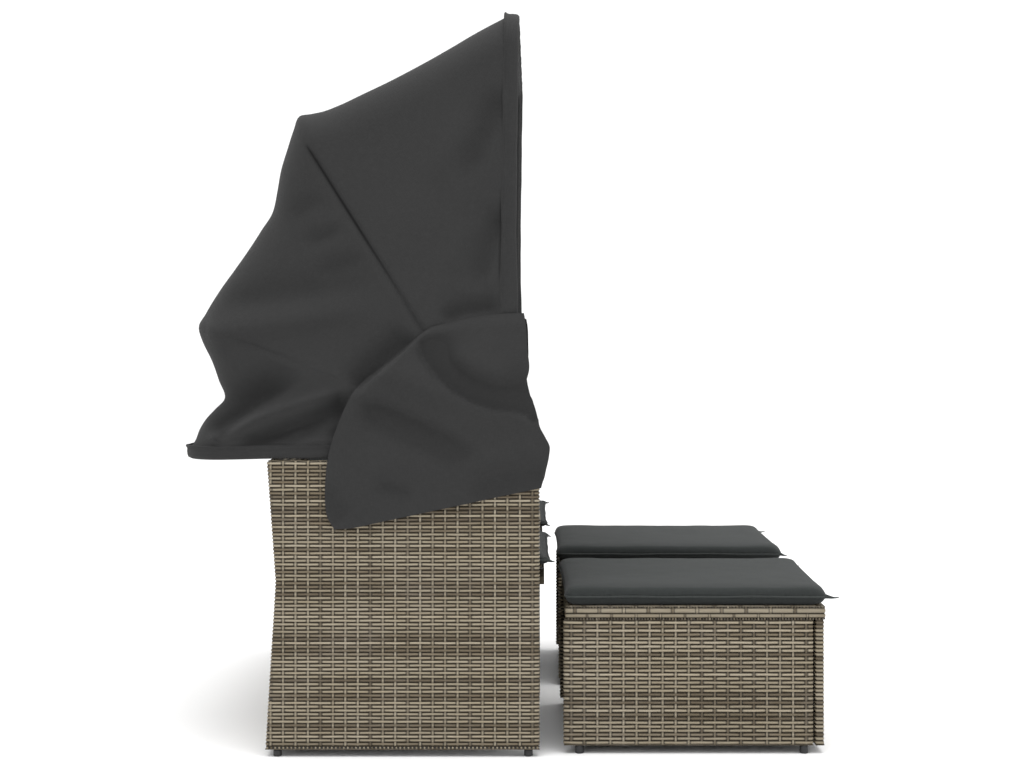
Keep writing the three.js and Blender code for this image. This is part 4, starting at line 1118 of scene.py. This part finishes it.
for side, s in SIDES:
    m, n = 84, 70                       # rows from the top seam to the bottom hem, columns from the front edge to the rear one
    shape = FLAP if s < 0 else FLAP_LEFT
    top, bottom = even(shape["top"], n), even(shape["bottom"], n)
    right, left = even(shape["right"], m), even(shape["left"], m)
    U = np.linspace(0, 1, n)[None, :, None]
    V = np.linspace(0, 1, m)[:, None, None]
    coons = ((1 - V) * top[None] + V * bottom[None] + (1 - U) * right[:, None] + U * left[:, None]
             - ((1 - U) * (1 - V) * top[0] + U * (1 - V) * top[-1] + (1 - U) * V * bottom[0] + U * V * bottom[-1]))
    x, z = coons[..., 0], coons[..., 1]
    D = fold_field(x + (0 if s < 0 else 0.010), z, FLAP_FOLDS) * (1.0 if s < 0 else 0.9)
    # painted shade: the flap's cloth is darker in the hollows of its folds
    shade = 1 - 0.15 * (1 - np.exp(-np.clip(-D, 0, None) / 0.014))
    D += 0.0010 * ripple(90 + int(s), x, z, 0.20) + 0.0004 * ripple(95 + int(s), x, z, 0.07)
    V2, U2 = V[..., 0], U[..., 0]
    y = 0.6500 + 0.0145 * np.exp(-((z - 0.82) / 0.11) ** 2) + D
    lower = smoothstep((0.64 - z) / 0.10)
    y += 0.0015 * lower
    hem = np.exp(-(((1 - V2) * 0.40) / 0.010) ** 2) * 0.0006
    y += hem
    # sewn down to the cloth beneath along the top seam and the upper rear edge
    under = fold_field(x + (0 if s < 0 else 0.012), z - (0 if s < 0 else 0.008), GORE_FOLDS) * (1.0 if s < 0 else 0.88)
    far_from_hub = smoothstep((np.hypot(x - HUB[0], z - HUB[1]) - 0.14) / 0.05)
    seat = np.maximum(E_SIDE + under * far_from_hub + 0.0018, leg_clearance(x, z) + 0.0016)
    sewn = np.clip(1 - V2 / 0.070, 0, 1) ** 1.5
    y = y * (1 - sewn) + seat * sewn
    edge_rear = np.clip(1 - (1 - U2) / 0.085, 0, 1) ** 1.5 * smoothstep((z - 0.79) / 0.04)
    y = y * (1 - edge_rear) + seat * edge_rear
    least = np.maximum(leg_clearance(x, z) + 0.0015, 0.6340 + 0.0090 * smoothstep((0.670 - z) / 0.015))
    least = np.maximum(least, (E_SIDE + under + 0.0016) * (far_from_hub > 0.02))
    near_bolt = np.hypot(x - HUB[0], z - HUB[1])
    least = np.maximum(least, 0.6443 + 0.0022 * smoothstep((0.020 - near_bolt) / 0.008))
    y = np.maximum(y, least)
    grid = np.stack([x + SX, s * y, z], -1)
    if s < 0:
        grid, shade = grid[:, ::-1], shade[:, ::-1]
    uv, edge = grid_uv(grid)
    ob = add_sheet(f"canopy_side_flap_{side}", grid[:, ::-1], uv[:, ::-1], edge[:, ::-1], 0.0012, [M_CANOPY, M_CANOPY_IN], 1, shade=shade[:, ::-1])
    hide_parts(f"canopy_flap_{side}")
    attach(ob, "sofa")
    width, length, cut = cloth_size(grid)
    print("cloth", ob.name, round(width, 3), round(length, 3), round(cut, 3))
    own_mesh(ob)


# ------------------------------------------------------------------ cushions
def outline_of(lx, ly, pull, corner, count=46):
    """Rounded rectangle whose sides pull in between the corners; corner gives a radius for the -x and the +x corners."""
    pts = []
    hx, hy = lx / 2, ly / 2
    spots = [(1, -1, -90), (1, 1, 0), (-1, 1, 90), (-1, -1, 180)]
    for i, (sx, sy, g0) in enumerate(spots):
        r = corner[1] if sx > 0 else corner[0]
        cx, cy = sx * (hx - r), sy * (hy - r)
        for g in np.radians(np.linspace(g0, g0 + 90, 9)):
            pts.append((cx + r * math.cos(g), cy + r * math.sin(g)))
        nx, ny, _ = spots[(i + 1) % 4]
        rn = corner[1] if nx > 0 else corner[0]
        ex, ey = pts[-1]
        g1 = math.radians(g0 + 90)
        fx, fy = nx * (hx - rn) + rn * math.cos(g1), ny * (hy - rn) + rn * math.sin(g1)
        for t in np.linspace(0, 1, count)[1:-1]:
            q = 4 * t * (1 - t)
            pts.append((ex + (fx - ex) * t - pull * q * math.cos(g1), ey + (fy - ey) * t - pull * q * math.sin(g1)))
    return np.array(pts)


def base_pad(name, lx, ly, levels, crown, pull, corner):
    """Closed pad from its plan outline, drawn in at each level (inset, z), with a crowned top."""
    plan = outline_of(lx, ly, pull, corner)
    n = len(plan)
    out = plan / np.linalg.norm(plan, axis=1, keepdims=True)
    tang = np.roll(plan, -1, 0) - np.roll(plan, 1, 0)
    nrm = np.stack([tang[:, 1], -tang[:, 0]], -1)
    nrm /= np.linalg.norm(nrm, axis=1, keepdims=True)
    rings = []
    first_inset, z_first = levels[0]
    last_inset, z_last = levels[-1]
    inner = plan - nrm * first_inset
    for k in (0.12, 0.35, 0.6, 0.82, 0.95):
        rings.append(np.column_stack([inner * k, np.full(n, z_first)]))
    for inset, z in levels:
        rings.append(np.column_stack([plan - nrm * inset, np.full(n, z)]))
    inner = plan - nrm * last_inset
    for k in (0.96, 0.9, 0.8, 0.68, 0.54, 0.4, 0.26, 0.12):
        rings.append(np.column_stack([inner * k, np.full(n, z_last) + crown * (1 - k ** 4)]))
    v = np.concatenate(rings)
    m = len(rings)
    idx = np.arange(m * n).reshape(m, n)
    a, b, c, d = idx[:-1], np.roll(idx, -1, 1)[:-1], np.roll(idx, -1, 1)[1:], idx[1:]
    quads = np.stack([a, b, c, d], -1).reshape(-1, 4)
    faces = np.concatenate([quads.ravel(), idx[0][::-1], idx[-1]])
    return add_mesh(name, v, faces, np.concatenate([np.full(len(quads), 4), [n, n]]), [M_PAD])


def evaluated(ob):
    deps = bpy.context.evaluated_depsgraph_get()
    return bpy.data.meshes.new_from_object(ob.evaluated_get(deps), depsgraph=deps)


def coords(me):
    co = np.empty(len(me.vertices) * 3, np.float32)
    me.vertices.foreach_get("co", co)
    return co.reshape(-1, 3).astype(float)


def inflate(ob, voxel, cap, pressure, floor_z=None, frames=20):
    """Voxel remesh, then cloth under pressure, with no point moved further than cap."""
    m = ob.modifiers.new("remesh", "REMESH")
    m.mode = "VOXEL"
    m.voxel_size = voxel
    m.use_smooth_shade = True
    me = evaluated(ob)
    ob.modifiers.clear()
    ob.data = me
    me.materials.clear()
    me.materials.append(M_PAD)
    start = coords(me)
    mod = ob.modifiers.new("Cloth", "CLOTH")
    s = mod.settings
    s.quality = 5
    s.mass = 0.25
    s.tension_stiffness = s.compression_stiffness = 14
    s.shear_stiffness = 6
    s.bending_stiffness = 0.35
    s.use_pressure = True
    s.uniform_pressure_force = pressure
    s.effector_weights.gravity = 0
    mod.collision_settings.use_collision = False
    mod.point_cache.frame_start, mod.point_cache.frame_end = 1, frames
    for f in range(1, frames + 1):
        scene.frame_set(f)
    swollen = evaluated(ob)
    ob.modifiers.clear()
    scene.frame_set(1)
    move = coords(swollen) - start
    far = np.linalg.norm(move, axis=1, keepdims=True) + 1e-9
    move *= cap * np.tanh(far / cap) / far
    now = start + move
    if floor_z is not None:
        now[:, 2] = np.maximum(now[:, 2], floor_z)
    me.vertices.foreach_set("co", now.astype(np.float32).ravel())
    bpy.data.meshes.remove(swollen)
    sub = ob.modifiers.new("smooth", "SUBSURF")
    sub.levels = sub.render_levels = 1
    fine = evaluated(ob)
    ob.modifiers.clear()
    ob.data = fine
    fine.materials.clear()
    fine.materials.append(M_PAD)
    ob.data.polygons.foreach_set("use_smooth", np.ones(len(ob.data.polygons), bool))
    ob.data.update()
    return ob


def tube(path, radius, closed, sides=8, squeeze=None):
    """Verts, flat faces and counts of a tube along a path of points; radius may be one (across, up) pair for each point."""
    p = np.asarray(path, float)
    n = len(p)
    r = np.broadcast_to(np.asarray(radius, float), (n, 2))
    tan = (np.roll(p, -1, 0) - np.roll(p, 1, 0)) if closed else np.gradient(p, axis=0)
    tan /= np.linalg.norm(tan, axis=1, keepdims=True)
    up = np.tile((0.0, 0.0, 1.0), (n, 1))
    side = np.cross(tan, up)
    side /= np.linalg.norm(side, axis=1, keepdims=True) + 1e-12
    up = np.cross(side, tan)
    g = np.linspace(0, 2 * math.pi, sides, endpoint=False)
    v = p[:, None] + side[:, None] * (np.cos(g)[None, :, None] * r[:, None, :1]) + up[:, None] * (np.sin(g)[None, :, None] * r[:, None, 1:])
    idx = np.arange(n * sides).reshape(n, sides)
    nxt = np.roll(idx, -1, 1)
    if closed:
        a, b, c, d = idx, nxt, np.roll(nxt, -1, 0), np.roll(idx, -1, 0)
    else:
        a, b, c, d = idx[:-1], nxt[:-1], nxt[1:], idx[1:]
    quads = np.stack([a, d, c, b], -1).reshape(-1, 4)
    faces, counts = [quads.ravel()], [np.full(len(quads), 4)]
    if not closed:
        faces += [idx[0], idx[-1][::-1]]
        counts.append([sides, sides])
    return v.reshape(-1, 3), np.concatenate(faces), np.concatenate(counts)


def make_pad(key, lx, ly, levels, crown, seam_z, pull, corner, ears, voxel, cap, pressure, taper=0.0, lip=0.0, pinch=(0.022, 0.5, 0.8)):
    """One pad in its own frame (x depth, y width, z thickness), with the piping along its seam: two meshes."""
    pad = base_pad(key + "_base", lx, ly, levels, crown, pull, corner)
    inflate(pad, voxel, cap, pressure, floor_z=levels[0][1])
    co = coords(pad.data)
    rng = np.random.default_rng(len(key))
    # faint unevenness of the filling
    co[:, 2] += np.where(co[:, 2] > seam_z, 0.0011 * ripple(5, co[:, 0], co[:, 1], 0.19) + 0.0004 * ripple(6, co[:, 0], co[:, 1], 0.055), 0)
    pad.data.vertices.foreach_set("co", co.astype(np.float32).ravel())
    # the corners are flattened towards their seam, more at the +x ones
    to_x, to_y = np.maximum(lx / 2 - np.abs(co[:, 0]), 0), np.maximum(ly / 2 - np.abs(co[:, 1]), 0)
    flat = np.where(co[:, 0] > 0, pinch[2], pinch[1]) * np.exp(-(np.hypot(to_x, to_y) / pinch[0]) ** 2)
    co[:, 2] = seam_z + (co[:, 2] - seam_z) * (1 - flat)
    # a rounded +x edge, with its seam standing furthest out
    if lip:
        co[:, 0] -= lip * (1 - np.exp(-np.maximum(co[:, 2] - seam_z, 0) / 0.008)) * smoothstep((co[:, 0] - (lx / 2 - 0.11)) / 0.09)
    # slightly shorter on its outer side
    co[:, 0] *= 1 - taper * np.clip(0.5 - co[:, 1] / ly, 0, 1)
    # the seam draws the cloth in
    groove = np.exp(-((co[:, 2] - seam_z) / 0.0030) ** 2)
    away = co[:, :2] / (np.linalg.norm(co[:, :2], axis=1, keepdims=True) + 1e-9)
    edge = np.maximum(np.abs(co[:, 0]) - (lx / 2 - 0.03), np.abs(co[:, 1]) - (ly / 2 - 0.03)) > 0
    co[:, :2] -= away * (0.0014 * groove * edge)[:, None]
    pad.data.vertices.foreach_set("co", co.astype(np.float32).ravel())
    # painted shade: darker under the seam and towards the bottom, all round the edge
    rim = smoothstep(1 - np.minimum(to_x, to_y) / 0.022)
    low = np.where(co[:, 2] < seam_z - 0.001, 0.74 - 0.40 * np.clip((seam_z - 0.001 - co[:, 2]) / (seam_z - 0.003), 0, 1), 0.80)
    tone = 1 - rim * (1 - low) * smoothstep((0.0385 - co[:, 2]) / 0.004)
    shade = pad.data.color_attributes.new("shade", "FLOAT_COLOR", "POINT")
    shade.data.foreach_set("color", np.column_stack([np.repeat(tone[:, None], 3, 1), np.ones(len(tone))]).astype(np.float32).ravel())
    pad.data.update()
    bvh = BVHTree.FromObject(pad, bpy.context.evaluated_depsgraph_get())
    plan = outline_of(lx, ly, pull, corner, 60)
    plan[:, 0] *= 1 - taper * np.clip(0.5 - plan[:, 1] / ly, 0, 1)
    tang = np.roll(plan, -1, 0) - np.roll(plan, 1, 0)
    nrm = np.stack([tang[:, 1], -tang[:, 0]], -1)
    nrm /= np.linalg.norm(nrm, axis=1, keepdims=True)
    run = np.concatenate(([0.0], np.cumsum(np.linalg.norm(np.diff(plan, axis=0), axis=1))))
    line = []
    for (x, y), (a, b), u in zip(plan, nrm, run):
        z = seam_z + 0.0006 * math.sin(u * 19.0) + 0.0004 * math.sin(u * 47.0)
        hit, _, _, _ = bvh.ray_cast(Vector((x + a * 0.05, y + b * 0.05, z)), Vector((-a, -b, 0.0)), 0.12)
        if hit is None:
            hit = Vector((x, y, z))
        line.append((hit.x + a * 0.0006, hit.y + b * 0.0006, z))
    line = np.array(line)
    for _ in range(2):
        line = (np.roll(line, 1, 0) + 2 * line + np.roll(line, -1, 0)) / 4
    v, f, c = tube(line, (0.0021, 0.0021), True)
    parts = [(v, f, c)]
    for sx, sy, angle, length, lift in ears:
        g = math.radians(angle) * sy
        d = np.array((math.cos(g) * sx, math.sin(g)))
        r = corner[1] if sx > 0 else corner[0]
        start = np.array((sx * (lx / 2 * (1 - taper * (sy < 0)) - r), sy * (ly / 2 - r)))
        hit, _, _, _ = bvh.ray_cast(Vector((*(start + d * 0.08), seam_z)), Vector((-d[0], -d[1], 0.0)), 0.12)
        root = np.array(hit[:2]) if hit is not None else start + d * r
        t = np.linspace(0, 1, 12)
        path = np.column_stack([root[0] + d[0] * (-0.012 + (length + 0.012) * t), root[1] + d[1] * (-0.012 + (length + 0.012) * t),
                                seam_z + lift * t ** 1.6 + 0.0008 * np.sin(t * 7.0)])
        high = 0.0066 * (1 - t) ** 1.4 + 0.0011
        thin = 0.0062 * (1 - t) ** 1.3 + 0.0010
        parts.append(tube(path, np.column_stack([thin, high]), False, 10))
    verts, faces, counts, base = [], [], [], 0
    for v, f, c in parts:
        verts.append(v)
        faces.append(f + base)
        counts.append(c)
        base += len(v)
    trim = (np.concatenate(verts), np.concatenate(faces), np.concatenate(counts))
    return pad, trim


def place_pad(pad, trim, name, body, node, place, flip):
    """Copies of the pad and its piping, put in place by place(points); flip mirrors them across y."""
    ob = bpy.data.objects.new(name, pad.data.copy())
    scene.collection.objects.link(ob)
    co = coords(ob.data)
    if flip:
        co[:, 1] *= -1
    ob.data.vertices.foreach_set("co", place(co).astype(np.float32).ravel())
    v, f, c = trim
    v = v * ((1, -1, 1) if flip else (1, 1, 1))
    piping = add_mesh(name + "_piping", place(v), f, c, [M_PIPING])
    if flip:
        ob.data.flip_normals()
        piping.data.flip_normals()
    ob.data.update()
    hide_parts(node)
    for o in (ob, piping):
        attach(o, body)
    return ob


PADS = {
    "stool": dict(lx=0.604, ly=0.5140, levels=[(0.0140, 0.0), (0.0085, 0.0026), (0.0036, 0.0095), (0.0, 0.0195), (0.0014, 0.0262), (0.0036, 0.0325), (0.0068, 0.0370), (0.0120, 0.0394), (0.022, 0.0402)],
                  crown=0.0014, seam_z=0.0200, pull=0.0030, corner=(0.018, 0.012), ears=[(1, -1, 25, 0.030, -0.0005), (1, 1, 40, 0.020, -0.0025)], voxel=0.0064, cap=0.0030, pressure=4.0, taper=0.026),
    "seat": dict(lx=0.540, ly=0.4960, levels=[(0.0080, 0.0), (0.0038, 0.0018), (0.0012, 0.006), (0.0, 0.0115), (0.0014, 0.0200), (0.0042, 0.0300), (0.0080, 0.0360), (0.0140, 0.0392), (0.025, 0.0404)],
                 crown=0.0024, seam_z=0.0112, pull=0.0025, corner=(0.012, 0.009), ears=[(1, -1, 32, 0.015, -0.0025), (1, 1, 32, 0.012, -0.0065)], voxel=0.0064, cap=0.0036, pressure=4.0, lip=0.022),
    "back": dict(lx=0.216, ly=0.4960, levels=[(0.012, 0.0), (0.0045, 0.0045), (0.0010, 0.013), (0.0, 0.0215), (0.0012, 0.0300), (0.0050, 0.0372), (0.0110, 0.0420), (0.022, 0.0445)],
                 crown=0.0040, seam_z=0.0215, pull=0.0040, corner=(0.008, 0.008), ears=[(1, -1, 40, 0.014, 0.0), (1, 1, 40, 0.014, 0.0)], voxel=0.0064, cap=0.0060, pressure=4.0, pinch=(0.03, 0.6, 0.7)),
}
made = {k: make_pad(k, **v) for k, v in PADS.items()}
lean = np.array((-0.016, 0.2215)) / math.hypot(0.016, 0.2215)

for side, s in SIDES:
    def on_stool(p, s=s):
        even = 1 + (0.0265 * np.clip(0.5 + p[:, 1] / 0.514, 0, 1) if s > 0 else 0.0)
        return np.column_stack([SX + 0.3630 + p[:, 0] * even, s * 0.3603 + p[:, 1], 0.3282 + p[:, 2]])

    def on_seat(p, s=s):
        rise = (0.008 * np.clip(p[:, 1] / 0.25, 0, 1) if s > 0 else 0.0) * smoothstep((p[:, 0] - 0.20) / 0.07)
        return np.column_stack([SX - 0.2276 + p[:, 0], s * 0.3620 + p[:, 1], 0.4176 + p[:, 2] + rise])

    def on_back(p, s=s):
        up, out = p[:, 0] + 0.1115, p[:, 2]
        return np.column_stack([SX - 0.5460 + lean[0] * up + lean[1] * out, s * 0.3620 + p[:, 1], 0.4185 + lean[1] * up - lean[0] * out])

    for key, name, body, node, where, fill in (("stool", f"footstool_cushion_soft_{side}", f"footstool_{side}", f"footstool_{side}_cushion", on_stool, 0.7),
                                               ("seat", f"seat_cushion_soft_{side}", "sofa", f"seat_cushion_{side}", on_seat, 0.7),
                                               ("back", f"back_cushion_soft_{side}", "sofa", f"back_cushion_{side}", on_back, 0.75)):
        place_pad(made[key][0], made[key][1], name, body, node, where, s > 0)
for pad, _ in made.values():
    bpy.data.objects.remove(pad)


# ------------------------------------------------------------------ finish of the frame's own pieces
for name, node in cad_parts.items():
    if node.hide_render:
        continue
    if "foot_" in name or "_foot" in name:
        m = M_PLASTIC
    elif "bolt" in name:
        m = M_ZINC
    else:
        m = M_STEEL
    for slot in node.material_slots:
        slot.material = m

# ------------------------------------------------------------------ stage, light and camera
bpy.ops.mesh.primitive_plane_add(size=60, location=(0, 0, -0.0005))
floor = bpy.context.object
floor.name = "floor"
fm = Nodes("pale_floor")
fc = fm.mix(fm.range(fm.noise(fm.add("ShaderNodeTexCoord").outputs["Object"], 0.6, 3.0), 0.3, 0.7, 0.0, 1.0), (0.92, 0.92, 0.92, 1.0), (0.94, 0.94, 0.94, 1.0))
floor.data.materials.append(fm.finish(fc))
fm.shader.inputs["Roughness"].default_value = 0.9

world = bpy.data.worlds.new("studio")
scene.world = world
world.use_nodes = True
world.node_tree.nodes["Background"].inputs["Color"].default_value = (1.0, 1.0, 1.0, 1.0)
world.node_tree.nodes["Background"].inputs["Strength"].default_value = 1.13


def area(name, location, target, size, power):
    data = bpy.data.lights.new(name, "AREA")
    data.shape = "RECTANGLE"
    data.size, data.size_y = size
    data.energy = power
    ob = bpy.data.objects.new(name, data)
    ob.location = location
    ob.rotation_euler = (Vector(target) - Vector(location)).to_track_quat("-Z", "Y").to_euler()
    scene.collection.objects.link(ob)
    return ob


area("key", (0.3, -1.6, 7.5), (0.0, 0.0, 0.5), (6.0, 6.0), 450.0)

cam = bpy.data.cameras.new("camera")
cam.lens = 58.38
cam.sensor_width = 36.0
cam.shift_x, cam.shift_y = -0.0205, -0.04785
camera = bpy.data.objects.new("camera", cam)
camera.location = (0.0625, -4.303, 0.9305)
camera.rotation_euler = (math.radians(90), 0, 0)
scene.collection.objects.link(camera)
scene.camera = camera
scene.view_settings.view_transform = "Standard"

# ------------------------------------------------------------------ end
bpy.context.view_layer.update()
